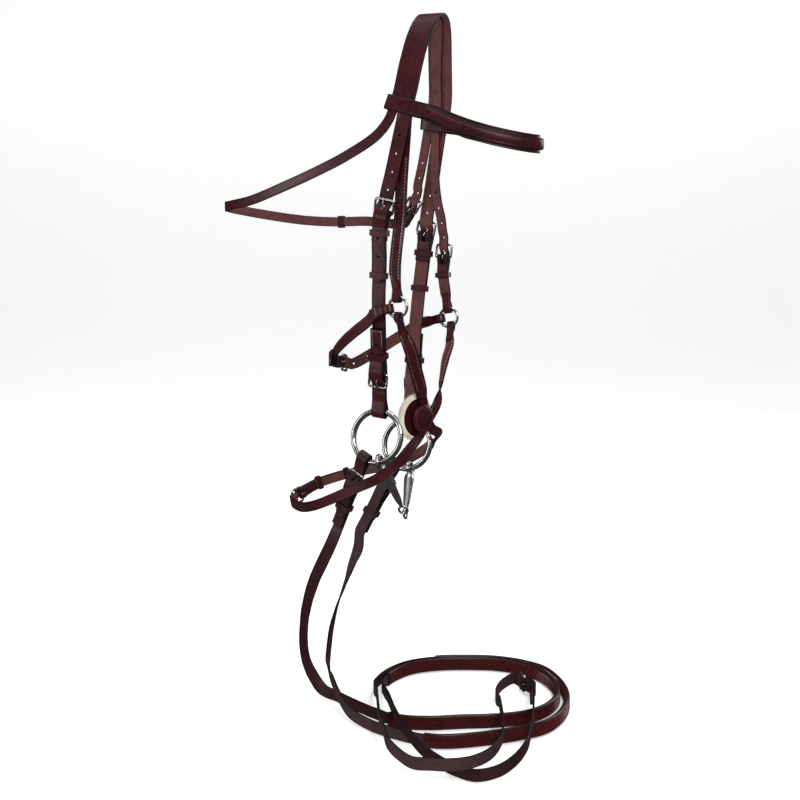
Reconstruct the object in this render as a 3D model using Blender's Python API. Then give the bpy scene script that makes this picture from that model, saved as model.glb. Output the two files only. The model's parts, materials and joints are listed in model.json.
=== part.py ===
"""Snaffle bridle with a ring snaffle bit, a crossed noseband and rubber grip reins, hanging from its poll.

The bridle is drawn in millimetres and written out in metres. +X is the wearer's forward, +Y its left (near)
side, -Y its right (off) side and +Z up. The origin is the middle of the poll, on the underside of the lowest
leather there, where the bridle hangs. Every strap is a ribbon laid along a smooth curve through knots;
a knot is a point of the strap's middle line and the direction of its width there.
"""
import math
from collections import namedtuple

import bmesh
import bpy
import numpy as np
from mathutils import Vector


def vec(x, y, z):
    return np.array([x, y, z], float)


def unit(vector):
    vector = np.asarray(vector, float)
    return vector / np.linalg.norm(vector)


# ---------------------------------------------------------------- fineness
FINE_TURN, FINE_STEP = 3.0, 2.5     # degrees and mm between steps of a guide line
TURN, LONGEST, SHORT = 17.0, 70.0, 1.6      # degrees, most and least mm between stations of a strap
STRAP_SAG, REIN_SAG = 0.2, 0.9      # how far a flat step may leave the curve
HOLE_SIDES, HOLE_ROOM = 8, 2.2      # sides of a punched hole, leather left before and after it
CORNER_STEPS = 2                    # steps round a buckle corner
WIRE_SIDES = 6                      # sides of buckle and noseband ring wire, and of tongues
BIT_WIRE_SIDES = 8
BIT_STEPS, NOSE_RING_STEPS = 32, 24     # steps round the rings
ROSETTE_STEPS, PAD_STEPS = 32, 28
EYE_DEGREES = (-40, 0, 40, 80, 120, 160, 200)       # steps of a tongue round its heel bar

# ---------------------------------------------------------------- driving sizes, in millimetres
HIDE = 2.5                          # one layer of strap leather
POLL_HIDE = 3.0                     # thicker leather of the headpiece
BROW_HIDE, FACING_HIDE = 2.3, 3.4   # browband and its raised facing
GAP = 0.4                           # air left between layers that only touch in use
LAYER = (HIDE + GAP) / 2            # from the middle of a pair of layers to the middle of one
BILLET_LIFT = 2.95                  # from a strap to the billet lying on it
BAR, PIN = 1.6, 1.1                 # radii of buckle wire and of buckle tongues
KEEPER_WALL = 1.3

# half widths of the straps
CHEEK = 9.4
NOSE = 8.0              # noseband headstrap
HEAD_BILLET = 6.5       # its near billet
NOSE_CHEEK_HALF = 7.5   # near cheek of the noseband
FACE = 8.4              # upper nose straps
JAW = 7.4
CHIN = 6.7              # lower nose straps
THROAT = 6.3
REIN = 8.0
IN_RING = 5.4           # strap narrowed to pass a noseband ring
FACE_IN_RING = 4.1      # the same for the nose straps

BIT_R, BIT_WIRE = 33.3, 3.7         # bit ring: centre line and wire radii
NOSE_R, NOSE_WIRE = 12.5, 2.0       # noseband ring: centre line and wire radii

ACROSS, UP = vec(1, 0, 0), vec(0, 0, 1)
OFF_OUT, NEAR_OUT = vec(0, -1, 0), vec(0, 1, 0)

# the near side hangs lower
OFF_BIT, NEAR_BIT = vec(-56, -46, -525), vec(-56, 46, -549)
OFF_RING, NEAR_RING = vec(-11, -80, -356), vec(-11, 80, -380)
BIT_AXIS = vec(0, 0.9676, -0.2524)              # line through both bit ring centres
RING_AXIS = unit(NEAR_RING - OFF_RING)          # line through both noseband ring centres
BIT_JOINT = vec(-31, -14, -630)                 # where the two arms of the mouthpiece meet
POLL_UNDER = -2.75                              # height of the noseband headstrap's middle at the poll
LIFT = vec(0, 0, HIDE / 2 - POLL_UNDER)         # brings the headstrap's underside there to z = 0


# ---------------------------------------------------------------- lines
Place = namedtuple("Place", "point width face run")


class Bench:
    """A flat working frame: run goes along the strap, face out of its grain side, side across it."""

    def __init__(self, origin, run, face):
        self.origin = np.asarray(origin, float)
        self.run = unit(run)
        self.face = unit(np.asarray(face, float) - np.dot(face, self.run) * self.run)
        self.side = np.cross(self.face, self.run)

    def point(self, run, rise, side=0.0):
        return self.origin + self.run * run + self.face * rise + self.side * side

    def knots(self, pairs):
        return [(self.point(run, rise), self.side) for run, rise in pairs]


def places(table):
    """Knots from rows of x, y, z, width direction."""
    return [(vec(x, y, z), width) for x, y, z, width in table]


def hermite(u, start, end, slope_start, slope_end):
    return (
        (2 * u**3 - 3 * u**2 + 1) * start
        + (u**3 - 2 * u**2 + u) * slope_start
        + (-2 * u**3 + 3 * u**2) * end
        + (u**3 - u**2) * slope_end
    )


def unit_rows(rows):
    return rows / np.maximum(np.linalg.norm(rows, axis=1), 1e-9)[:, None]


def flow(knots):
    """A smooth centripetal curve through the knots, finely stepped.
    Returns its points, width directions, face normals and running directions."""
    given = np.array([knot[0] for knot in knots], float)
    across = np.array([unit(knot[1]) for knot in knots], float)
    padded = np.vstack([2 * given[0] - given[1], given, 2 * given[-1] - given[-2]])
    points, widths = [], []
    for i in range(len(given) - 1):
        before, start, end, after = padded[i:i + 4]
        time1 = max(np.linalg.norm(start - before), 1e-6) ** 0.5
        time2 = time1 + max(np.linalg.norm(end - start), 1e-6) ** 0.5
        time3 = time2 + max(np.linalg.norm(after - end), 1e-6) ** 0.5
        span = time2 - time1
        middle = (end - start) / span
        slope_start = span * ((start - before) / time1 - (end - before) / time2 + middle)
        slope_end = span * (middle - (after - start) / (time3 - time1)
                            + (after - end) / (time3 - time2))
        piece = (start, end, slope_start, slope_end)

        fine = np.array([hermite(u, *piece) for u in np.linspace(0, 1, 17)])
        chords = np.diff(fine, axis=0)
        length = np.linalg.norm(chords, axis=1).sum()
        chords = unit_rows(chords)
        cosines = (chords[1:] * chords[:-1]).sum(1)
        bend = np.degrees(np.arccos(np.clip(cosines, -1, 1))).sum()
        twist = np.degrees(np.arccos(np.clip(across[i] @ across[i + 1], -1, 1)))
        steps = max(1, math.ceil(bend / FINE_TURN), math.ceil(length / FINE_STEP),
                    math.ceil(twist / (FINE_TURN * 1.5)))
        for k in range(steps):
            u = k / steps
            ease = u * u * (3 - 2 * u)
            points.append(hermite(u, *piece))
            widths.append(across[i] * (1 - ease) + across[i + 1] * ease)
    points = np.array(points + [given[-1]])
    widths = np.array(widths + [across[-1]])
    chords = unit_rows(np.diff(points, axis=0))
    runs = np.vstack([chords[0], chords[1:] + chords[:-1], chords[-1]])
    runs /= np.linalg.norm(runs, axis=1)[:, None]
    widths = widths - (widths * runs).sum(1)[:, None] * runs
    widths /= np.linalg.norm(widths, axis=1)[:, None]
    return points, widths, np.cross(runs, widths), runs


def angle_between(first, second):
    return math.degrees(math.acos(min(1.0, max(-1.0, float(first @ second)))))


class Guide:
    """The middle line of a strap, finely stepped, with its width, face and running directions.
    Places on it are given by their distance from its start."""

    def __init__(self, knots, axis=None):
        turned, last = [], axis
        for point, width in knots:
            width = np.asarray(width, float)
            if last is not None and np.dot(width, last) < 0:
                width = -width
            turned.append((point, width))
            last = width
        self.points, self.widths, self.faces, self.runs = flow(turned)
        chords = np.linalg.norm(np.diff(self.points, axis=0), axis=1)
        self.dists = np.concatenate([[0], np.cumsum(chords)])
        self.length = self.dists[-1]

    def at(self, dist):
        point, width, face, run = (
            np.array([np.interp(dist, self.dists, line[:, k]) for k in range(3)])
            for line in (self.points, self.widths, self.faces, self.runs))
        width = unit(width)
        return Place(point, width, unit(face - (face @ width) * width), unit(run))

    def lay(self, start, end, rise, step=9.0):
        """Knots that follow this line at a distance off its face."""
        count = max(1, math.ceil(abs(end - start) / step))
        knots = []
        for k in range(count + 1):
            place = self.at(start + (end - start) * k / count)
            knots.append((place.point + place.face * rise, place.width))
        return knots

    def bench(self, dist):
        place = self.at(dist)
        return Bench(place.point, place.run, place.face)

    def find(self, target):
        """Distance along the line to its closest place to target."""
        best, where, passed = 1e18, 0.0, 0.0
        for start, end in zip(self.points[:-1], self.points[1:]):
            chord = end - start
            length = np.linalg.norm(chord)
            part = 0.0
            if length >= 1e-9:
                part = min(1.0, max(0.0, (target - start) @ chord / length**2))
            miss = np.linalg.norm(start + part * chord - target)
            if miss < best:
                best, where = miss, passed + part * length
            passed += length
        return where

    def stations(self, marks=(), gaps=(), sag=STRAP_SAG):
        """Distances at which a strap is stepped: at every mark, never inside a gap."""
        firm = set(marks) | {0.0, self.length}
        chosen = set(firm)
        turned, last = 0.0, 0.0
        for i in range(1, len(self.dists)):
            bend = angle_between(self.runs[i], self.runs[i - 1])
            twist = angle_between(self.widths[i], self.widths[i - 1])
            turned += max(bend, twist * 0.7)
            step = self.dists[i] - last
            if turned >= TURN or step >= LONGEST or math.radians(turned) * step / 8 >= sag:
                chosen.add(float(self.dists[i]))
                turned, last = 0.0, self.dists[i]
        kept = sorted(chosen)
        for low, high in gaps:
            kept = [dist for dist in kept if dist <= low + 1e-6 or dist >= high - 1e-6]
        spaced = []
        for dist in kept:
            if not spaced or dist - spaced[-1] >= SHORT:
                spaced.append(dist)
            elif dist in firm:
                if spaced[-1] not in firm:
                    spaced[-1] = dist
                elif dist - spaced[-1] > 0.05:
                    spaced.append(dist)
        return spaced


# ---------------------------------------------------------------- leather
def rim_offsets(radius):
    """(along, across) offsets of the points round a hole."""
    angles = [-0.75 * math.pi + 2 * math.pi * i / HOLE_SIDES for i in range(HOLE_SIDES)]
    return [(radius * math.cos(angle), radius * math.sin(angle)) for angle in angles]


class Sheet:
    """Leather of one thickness: a net of points with face directions, closed round its rim and holes."""

    def __init__(self, thick):
        self.thick = thick
        self.middles, self.normals, self.net = [], [], []

    def dot(self, point, normal):
        self.middles.append(point)
        self.normals.append(normal)
        return len(self.middles) - 1

    def row(self, guide, dist, half, slots, lift):
        """The points across a strap: two edges, and two more where it is slotted."""
        place = guide.at(dist)
        sides = (-half, half)
        for slot_from, slot_to, slot_half in slots:
            if slot_from - 1e-6 <= dist <= slot_to + 1e-6:
                sides = (-half, -slot_half, slot_half, half)
        return [self.dot(place.point + place.face * lift + place.width * side, place.face)
                for side in sides]

    def join(self, a, b):
        """Faces between two neighbouring rows; a slot stays open between rows of four."""
        if len(a) == len(b) == 4:
            self.net += [(a[0], b[0], b[1], a[1]), (a[2], b[2], b[3], a[3])]
        elif len(b) == 4:
            self.net += [(a[0], b[0], b[1]), (a[0], b[1], b[2], a[1]), (a[1], b[2], b[3])]
        elif len(a) == 4:
            self.net += [(a[0], b[0], a[1]), (a[1], b[0], b[1], a[2]), (a[2], b[1], a[3])]
        else:
            self.net.append((a[0], b[0], b[1], a[1]))

    def surround(self, rim, before, after):
        """Triangles between the rim of a hole and the rows before and after it."""
        sides = [(before[0], after[0]), after, (after[-1], before[-1]), before[::-1]]
        quarter = HOLE_SIDES // 4
        middle = quarter // 2
        for s, side in enumerate(sides):
            arc = [rim[(s * quarter + j) % HOLE_SIDES] for j in range(quarter + 1)]
            for j in range(middle):
                self.net.append((side[0], arc[j + 1], arc[j]))
            for first, second in zip(side[:-1], side[1:]):
                self.net.append((first, second, arc[middle]))
            for j in range(middle, quarter):
                self.net.append((side[-1], arc[j + 1], arc[j]))

    def punch(self, guide, hole, lift):
        """The rim of a round or lengthened hole."""
        centre, half_length, half_width = hole
        rim = []
        for along, side in rim_offsets(half_width):
            if half_length > half_width:
                along += (half_length - half_width) * (1 if along > 1e-9 else -1)
            place = guide.at(centre + along)
            rim.append(self.dot(place.point + place.face * lift + place.width * side, place.face))
        return rim

    def strip(self, guide, half, holes=(), slots=(), start=None, lift=0.0, stations=None,
              sag=STRAP_SAG, plain=()):
        """Lay a ribbon along a guide and return its (distance, points) rows.
        half: (distance, half width), negative distances count from the far end.
        holes: (distance, half length, half width). slots: (from, to, half width).
        start: points already in the sheet to begin from. plain: stretches kept as one flat step."""
        dists = [dist if dist >= 0 else guide.length + dist for dist, _ in half]
        dists = [min(max(dist, 0.0), guide.length) for dist in dists]
        halves = [value for _, value in half]
        marks, gaps, cells = {float(dist) for dist in dists}, list(plain), []
        for span in plain:
            marks.update(span)
        for hole in holes:
            low, high = hole[0] - hole[1] - HOLE_ROOM, hole[0] + hole[1] + HOLE_ROOM
            marks.update((low, high))
            gaps.append((low, high))
            cells.append((low, high, hole))
        for slot_from, slot_to, _ in slots:
            marks.update((slot_from, slot_to))
            if slot_from - 3.0 > 0:
                marks.add(slot_from - 3.0)
            if slot_to + 3.0 < guide.length:
                marks.add(slot_to + 3.0)
        stations = stations or guide.stations(marks, gaps, sag)
        rows = []
        if start is not None:
            stations = [dist for dist in stations if dist > 1e-6]
            rows.append((0.0, start))
        for dist in stations:
            width = float(np.interp(dist, dists, halves))
            rows.append((dist, self.row(guide, dist, width, slots, lift)))
        for (dist_a, a), (dist_b, b) in zip(rows[:-1], rows[1:]):
            punched = [hole for low, high, hole in cells
                       if abs(low - dist_a) < 0.6 and abs(high - dist_b) < 0.6]
            if punched:
                rim = self.punch(guide, punched[0], lift)
                self.surround(rim, (a[0], a[-1]), (b[0], b[-1]))
            else:
                self.join(a, b)
        return rows

    def solid(self):
        count = len(self.middles)
        middles, normals = np.array(self.middles), np.array(self.normals)
        verts = np.vstack([middles + normals * self.thick / 2, middles - normals * self.thick / 2])
        faces, edges = [], {}
        for face in self.net:
            faces.append(tuple(face))
            faces.append(tuple(i + count for i in reversed(face)))
            for i in range(len(face)):
                edges[(face[i], face[(i + 1) % len(face)])] = True
        for a, b in edges:
            if (b, a) not in edges:
                faces.append((b, a, a + count, b + count))
        return verts, faces


# ---------------------------------------------------------------- wires, loops and turned bodies
def tube(points, radius, sides, hint, closed=False):
    """A round bar swept along points; closed runs it back to its start. radius: one, or one per point."""
    points = np.array(points, float)
    count = len(points)
    radii = np.broadcast_to(radius, (count,))
    runs = np.zeros_like(points)
    for i in range(count):
        after = points[(i + 1) % count]
        if closed or 0 < i < count - 1:
            runs[i] = unit(unit(points[i] - points[i - 1]) + unit(after - points[i]))
        elif i == 0:
            runs[i] = unit(after - points[i])
        else:
            runs[i] = unit(points[i] - points[i - 1])
    verts, faces = [], []
    first = unit(hint - (hint @ runs[0]) * runs[0])
    for i in range(count):
        first = unit(first - (first @ runs[i]) * runs[i])
        second = np.cross(runs[i], first)
        for k in range(sides):
            angle = 2 * math.pi * (k + 0.5) / sides
            spoke = first * math.cos(angle) + second * math.sin(angle)
            verts.append(points[i] + radii[i] * spoke)
    for i in range(count if closed else count - 1):
        j = (i + 1) % count
        for k in range(sides):
            m = (k + 1) % sides
            faces.append((i * sides + k, i * sides + m, j * sides + m, j * sides + k))
    if not closed:
        faces.append(tuple(reversed(range(sides))))
        faces.append(tuple((count - 1) * sides + k for k in range(sides)))
    return np.array(verts), faces


def ring(centre, axis, radius, wire, steps, sides):
    axis = unit(axis)
    first = unit(np.cross(axis, UP))
    second = np.cross(axis, first)
    angles = [2 * math.pi * k / steps for k in range(steps)]
    points = [centre + radius * (math.cos(angle) * first + math.sin(angle) * second)
              for angle in angles]
    return tube(points, wire, sides, axis, True)


def rounded(corners, radius, steps):
    """Points round a closed outline with its corners rounded."""
    points = []
    for i in range(len(corners)):
        before, corner, after = (corners[j % len(corners)] for j in (i - 1, i, i + 1))
        start = corner + unit(before - corner) * radius
        end = corner + unit(after - corner) * radius
        for k in range(steps + 1):
            u = k / steps
            points.append((1 - u) ** 2 * start + 2 * u * (1 - u) * corner + u * u * end)
    return points


def sleeve(guide, stations, inner, outer):
    """A rectangular tube along a guide; inner and outer are (half width, half thickness)."""
    verts, faces = [], []
    for dist in stations:
        place = guide.at(dist)
        for half, thick in (outer, inner):
            for across, out in ((-1, -1), (1, -1), (1, 1), (-1, 1)):
                verts.append(place.point + place.width * half * across + place.face * thick * out)
    last = (len(stations) - 1) * 8
    for a in range(0, last, 8):
        b = a + 8
        for k in range(4):
            j = (k + 1) % 4
            faces.append((a + j, a + k, b + k, b + j))
            faces.append((a + 4 + k, a + 4 + j, b + 4 + j, b + 4 + k))
    for k in range(4):
        j = (k + 1) % 4
        faces.append((k, j, 4 + j, 4 + k))
        faces.append((last + j, last + k, last + 4 + k, last + 4 + j))
    return np.array(verts), faces


def band(bench, start, end, half, low, high):
    """A flat leather loop (keeper) on a bench: inside half width, inside from low to high."""
    verts, faces = [], []
    for run in (start, end):
        for wall in (KEEPER_WALL, 0.0):
            for side, rise in ((-half - wall, low - wall), (half + wall, low - wall),
                               (half + wall, high + wall), (-half - wall, high + wall)):
                verts.append(bench.point(run, rise, side))
    for k in range(4):
        j = (k + 1) % 4
        faces.append((8 + k, 8 + j, j, k))
        faces.append((4 + k, 4 + j, 12 + j, 12 + k))
        faces.append((k, j, 4 + j, 4 + k))
        faces.append((8 + j, 8 + k, 12 + k, 12 + j))
    return np.array(verts), faces


def lathe(centre, axis, profile, steps):
    """A turned body: profile of (distance along the axis, radius), first and last on the axis."""
    axis = unit(axis)
    first = unit(np.cross(UP, axis))
    second = np.cross(axis, first)
    verts, faces = [centre + axis * profile[0][0]], []
    circles = profile[1:-1]
    for along, radius in circles:
        for k in range(steps):
            angle = 2 * math.pi * k / steps
            spoke = math.cos(angle) * first + math.sin(angle) * second
            verts.append(centre + axis * along + radius * spoke)
    verts.append(centre + axis * profile[-1][0])
    last = len(verts) - 1
    for k in range(steps):
        m = (k + 1) % steps
        faces.append((0, 1 + m, 1 + k))
        for a in range(1, last - steps, steps):
            b = a + steps
            faces.append((a + k, a + m, b + m, b + k))
        faces.append((last - steps + k, last - steps + m, last))
    return np.array(verts), faces


# ---------------------------------------------------------------- finished pieces
PARTS = {}          # name -> (verts, faces, look)


def outward(verts, faces):
    """Turn the faces over if the body is inside out."""
    volume = 0.0
    for face in faces:
        for i in range(1, len(face) - 1):
            normal = np.cross(verts[face[i]], verts[face[i + 1]])
            volume += float(np.dot(verts[face[0]], normal))
    return faces if volume > 0 else [tuple(reversed(face)) for face in faces]


def keep(name, body, look="leather"):
    verts, faces = body
    PARTS[name] = (verts, outward(verts, faces), look)


def strap(name, guide, half, holes=(), slots=(), look="leather", thick=HIDE, **options):
    """A piece made of one ribbon; returns its rows."""
    sheet = Sheet(thick)
    rows = sheet.strip(guide, half, holes, slots, **options)
    keep(name, sheet.solid(), look)
    return rows


# ---------------------------------------------------------------- buckles and strap ends
# A buckle's bench has its origin in the middle of the heel bar and runs along the billet.
# (run, rise) of a billet coming over the buckle from the far side
RISE = [(-27, -0.3), (-17, -0.1), (-13, 0.4), (-4, 7.0), (1, 8.6), (6, 8.3), (12, 6.3), (18, 4.65)]
# (run, rise) of a strap turned round the heel bar
FOLD = [(9, -LAYER), (4.4, -2.5), (0, -3.45), (-2.7, -2.3), (-3.6, 0),
        (-2.7, 2.3), (0, 3.45), (4.4, 2.5), (9, LAYER)]
# (run, rise) of a strap passing behind a sewn-on buckle
BEHIND_CHEEK = [(60, -4.6), (34, -4.6), (21, -4.7), (11, -5.9), (1, -6.6), (-9, -5.9), (-20, -4.6)]
BEHIND_REIN = [(-20, -4.6), (-9, -5.9), (1, -6.6), (11, -5.9), (22, -4.7), (38, -4.6), (54, -4.6),
               (68, -4.6)]
TONGUE_TIP = [(-3.5, 3.9), (-11, 5.35), (-17.6, 6.6), (-19.2, 6.75)]    # (run, rise) past the eye
EYE_R = 3.2                 # tongue eye round the heel bar
FRAME_ROOM = 3.0            # from the strap's edge to the middle of the side wire
FRAME_END = (-17, 3.25)     # (run, rise) of the bar opposite the heel
FRAME_CORNER = 3.4
TONGUE_HOLE = (-7.9, 4.4)   # (run, rise) of the hole the tongue passes


def buckle(name, bench, half):
    side = half + FRAME_ROOM
    corners = [bench.point(0, 0, -side), bench.point(*FRAME_END, -side),
               bench.point(*FRAME_END, side), bench.point(0, 0, side)]
    outline = rounded(corners, FRAME_CORNER, CORNER_STEPS)
    keep(name + "_frame", tube(outline, BAR, WIRE_SIDES, bench.face, True), "steel")
    line = [bench.point(EYE_R * math.sin(math.radians(deg)), -EYE_R * math.cos(math.radians(deg)))
            for deg in EYE_DEGREES]
    line += [bench.point(*pair) for pair in TONGUE_TIP]
    radii = [PIN] * (len(line) - 1) + [0.6 * PIN]
    keep(name + "_tongue", tube(line, radii, WIRE_SIDES, bench.side), "steel")


def pointed(half, tip=11.0):
    """Half widths of a strap whose far end is cut to a blunt point."""
    return [(-tip, half), (-0.36 * tip, 0.74 * half), (-0.001, 0.3 * half)]


def chape_knots(bench, guide, back):
    """A strap end turned round the heel bar: the turned-back layer and the fold; the strap follows."""
    return guide.lay(back, 1.5, -2 * LAYER, 11.0) + bench.knots(FOLD[:-1])


def chape_slot(guide, bench):
    """The slot in the fold that lets the tongue through."""
    ends = sorted(guide.find(bench.point(9, rise)) for rise in (-LAYER, LAYER))
    return (*ends, 1.9)


def tongue_hole(guide, bench):
    return (guide.find(bench.point(*TONGUE_HOLE)), 3.8, 1.9)


def spare_holes(middle, counts, pitch, radius):
    return [(middle + k * pitch, radius, radius) for k in counts]


def sewn_chape(name, bench, half, runs, look):
    """The short strap that carries a buckle, folded round its heel bar and sewn to the strap behind."""
    knots = bench.knots([(run, -LAYER) for run in runs] + FOLD
                        + [(run, LAYER) for run in reversed(runs)])
    guide = Guide(knots)
    strap(name, guide, [(0, half)], (), [chape_slot(guide, bench)], look)


# ---------------------------------------------------------------- wraps round the rings
def ring_point(centre, axis, radius, degrees):
    """A point on a ring, turned up from +X."""
    angle = math.radians(degrees)
    return centre + radius * (math.cos(angle) * ACROSS + math.sin(angle) * np.cross(ACROSS, axis))


def bit_point(centre, degrees):
    return ring_point(centre, BIT_AXIS, BIT_R, degrees)


def square_to(vector, run):
    return unit(vector - (vector @ run) * run)


WRAP_DROP = 2.2         # bench of a buckle near the bit, out from the ring's middle
WRAP_R = 5.75           # strap middle round the bit ring wire
OFF_REACH, NEAR_REACH, REIN_REACH = 52, 56, 37      # from the bit ring to the heel bar


def bit_wrap(bench, reach):
    """A strap that comes from behind a buckle, round the bit ring and back as a billet.
    The bench runs away from the ring."""
    base, deep = -reach, -WRAP_DROP
    back = [(base + 14, deep - 2.4), (base + 4.8, deep - 0.86 * WRAP_R),
            (base - 1.5, deep - 1.06 * WRAP_R), (base - 6.2, deep - 0.8 * WRAP_R), (base - 8.6, deep)]
    front = [(base - 6.2, deep + 0.8 * WRAP_R), (base - 1.5, deep + 1.06 * WRAP_R),
             (base + 4.8, deep + 0.86 * WRAP_R), (base + 14, deep + 2.4)]
    if reach > 45:
        front.append((-26, 0.0))
    return bench.knots(back + front)


def ring_bench(centre, degrees, run):
    """Bench on a noseband ring's wire, facing outward from the head."""
    return Bench(ring_point(centre, RING_AXIS, NOSE_R, degrees), run,
                 RING_AXIS if centre[1] > 0 else -RING_AXIS)


LOOP_R = NOSE_WIRE + 1.3 + HIDE / 2         # strap middle round the noseband ring wire
RING_SAG = 5.6 ** 2 / (2 * NOSE_R)          # fall of the ring's curve over a half width of 5.6


def ring_wrap(bench, far):
    """A strap wrapped round a noseband ring's wire, from its outer layer to its inner one."""
    outer = [(1.9 * LOOP_R, 1.8), (0.85 * LOOP_R, 0.8 * LOOP_R), (-0.15 * LOOP_R, 1.06 * LOOP_R),
             (-0.8 * LOOP_R - 0.6 * RING_SAG, 0.74 * LOOP_R)]
    inner = [(run, -rise) for run, rise in reversed(outer)]
    turn_back = (-(LOOP_R + RING_SAG) * 1.04, 0.0)
    return bench.knots([(far, LAYER)] + outer + [turn_back] + inner + [(far, -LAYER)])


# ---------------------------------------------------------------- benches of the head's buckles
def lower_bench(bit, run, out, reach):
    run = unit(run)
    face = square_to(out, run)
    return Bench(bit_point(bit, 90) + run * reach + face * WRAP_DROP, run, face)


OFF_TOP = Bench((-36, -67.5, -242), (-.2, 0, -.98), OFF_OUT)
NEAR_TOP = Bench((-40, 67.5, -271), (-.12, .02, -.99), NEAR_OUT)
OFF_LOW = lower_bench(OFF_BIT, (.1, -.24, .96), OFF_OUT, OFF_REACH)
NEAR_LOW = lower_bench(NEAR_BIT, (.05, .05, .99), NEAR_OUT, NEAR_REACH)
THROAT_BENCH = Bench((-58.5, 57.5, -240), (-.45, -.05, -.89), NEAR_OUT)
NOSE_BENCH = Bench((-18, 77.5, -301), (-.03, .0, -1), NEAR_OUT)
JAW_BENCH = Bench((-134.5, 9, -438), (-.1, -.97, .2), (-1, 0, -.1))
CHIN_BENCH = Bench((-198, 11, -622), (.1, .97, .2), (-1, 0, -.15))


# ---------------------------------------------------------------- headpiece
# The knot tables below hold x, y, z and the direction of the strap's width.
CROWN = Guide(places([
    (-25, 62.5, -141, ACROSS), (-19, 60.5, -120, ACROSS), (-14, 56, -97, ACROSS),
    (-9, 43.5, -57, ACROSS), (-4.5, 31, -24, ACROSS), (-1, 17.5, -6, ACROSS),
    (0, 5.5, 0.5, ACROSS), (0, -5.5, 0.5, ACROSS), (-1, -17.5, -6, ACROSS),
    (-4.5, -31, -25, ACROSS), (-9, -43, -57, ACROSS), (-13, -55, -97, ACROSS),
    (-17, -60, -118, ACROSS)]), ACROSS)
CROWN_COLUMNS = (-16.0, -3.5, -2.5, 16.0)       # edges of the throat and cheek straps it splits into
THROAT_COLUMN = (CROWN_COLUMNS[0] + CROWN_COLUMNS[1]) / 2
CHEEK_COLUMN = (CROWN_COLUMNS[2] + CROWN_COLUMNS[3]) / 2

# cheekpieces, from the heel bar of the top buckle downwards
OFF_CHEEK_LINE = OFF_TOP.knots([(9, LAYER), (22, LAYER)]) + places([
    (-41, -67.5, -300, ACROSS), (-43.5, -66, -345, ACROSS)]) + OFF_LOW.knots(BEHIND_CHEEK)
OFF_CHEEK = Guide(OFF_CHEEK_LINE)
NEAR_CHEEK_LINE = NEAR_TOP.knots([(9, LAYER), (22, LAYER)]) + places([
    (-46, 65.5, -330, ACROSS)]) + NEAR_LOW.knots(BEHIND_CHEEK)
NEAR_CHEEK = Guide(NEAR_CHEEK_LINE)

# throatlash, from its buckle on the near side back and round towards the off side
THROAT_LINE = THROAT_BENCH.knots([(9, LAYER), (15, 1.3)]) + places([
    (-77, 57.5, -256.5, (.45, 0, -.89)), (-94, 56.5, -256, (.1, 0, -.99)),
    (-118, 54.5, -253.5, UP), (-164, 50.5, -254.5, UP), (-209, 45.5, -252.5, UP),
    (-251, 36.5, -247, UP), (-287, 18, -240, UP)])
THROATLASH = Guide(THROAT_LINE)


def off_cheek_billet(sheet, end, start):
    knots = [(end.point + end.width * CHEEK_COLUMN, end.width)] + places([
        (-13.5, -63.5, -140, ACROSS), (-19, -66, -168, ACROSS), (-25.5, -67.6, -198, ACROSS)])
    guide = Guide(knots + OFF_TOP.knots(RISE) + OFF_CHEEK.lay(16, 77, BILLET_LIFT, 16), ACROSS)
    hole = tongue_hole(guide, OFF_TOP)
    holes = [hole] + spare_holes(hole[0], (-4, -3, -2, -1), 22.5, 2.1)
    holes += [(guide.find(OFF_CHEEK.at(dist).point), 2.1, 2.1) for dist in (22.0, 44.5)]
    sheet.strip(guide, [(0, CHEEK)] + pointed(CHEEK, 13), holes, start=start)


def near_cheek_billet(sheet, end, start):
    knots = [(end.point + end.width * CHEEK_COLUMN, -end.width)] + places([
        (-24, 65, -170, -ACROSS), (-30, 66.5, -205, -ACROSS)])
    guide = Guide(knots + NEAR_TOP.knots(RISE) + NEAR_CHEEK.lay(16, 74, BILLET_LIFT, 16), -ACROSS)
    hole = tongue_hole(guide, NEAR_TOP)
    holes = [hole] + spare_holes(hole[0], (-3, -2, -1), 22.5, 2.1)
    holes += [(guide.find(NEAR_CHEEK.at(dist).point), 2.1, 2.1) for dist in (28.0, 50.5)]
    sheet.strip(guide, [(0, CHEEK)] + pointed(CHEEK, 13), holes, start=start)


def throatlash_strap(sheet, end, start):
    """The long strap that runs back from the off side, round the throat to the near buckle."""
    knots = [(end.point + end.width * THROAT_COLUMN, end.width)] + places([
        (-31.5, -61.5, -129, (1, 0, -.35)), (-47, -62.5, -147, (.75, 0, -.65)),
        (-91, -61, -172, (.4, 0, -.92)), (-137, -56.5, -191, -UP), (-191, -48, -210, -UP),
        (-245, -34, -226, -UP), (-288, -16, -232.5, -UP), (-304, 0, -234.5, -UP)])
    tail = chape_knots(THROAT_BENCH, THROATLASH, 24) + THROAT_LINE
    guide = Guide(knots + tail[::-1], ACROSS)
    sheet.strip(guide, [(0, THROAT)], (), [chape_slot(guide, THROAT_BENCH)], start=start)


def throatlash_billet(sheet, end, start):
    knots = [(end.point + end.width * THROAT_COLUMN, -end.width)] + places([
        (-40, 63, -168, -ACROSS), (-44, 61.5, -190, -ACROSS), (-47.5, 60, -208, -ACROSS)])
    knots += THROAT_BENCH.knots(RISE) + THROATLASH.lay(14, 106, BILLET_LIFT, 12)
    guide = Guide(knots, -ACROSS)
    hole = tongue_hole(guide, THROAT_BENCH)
    holes = [hole] + spare_holes(hole[0], (-3, -2, -1), 20.0, 1.7)
    sheet.strip(guide, [(0, THROAT)] + pointed(THROAT, 9), holes, start=start)


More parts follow.
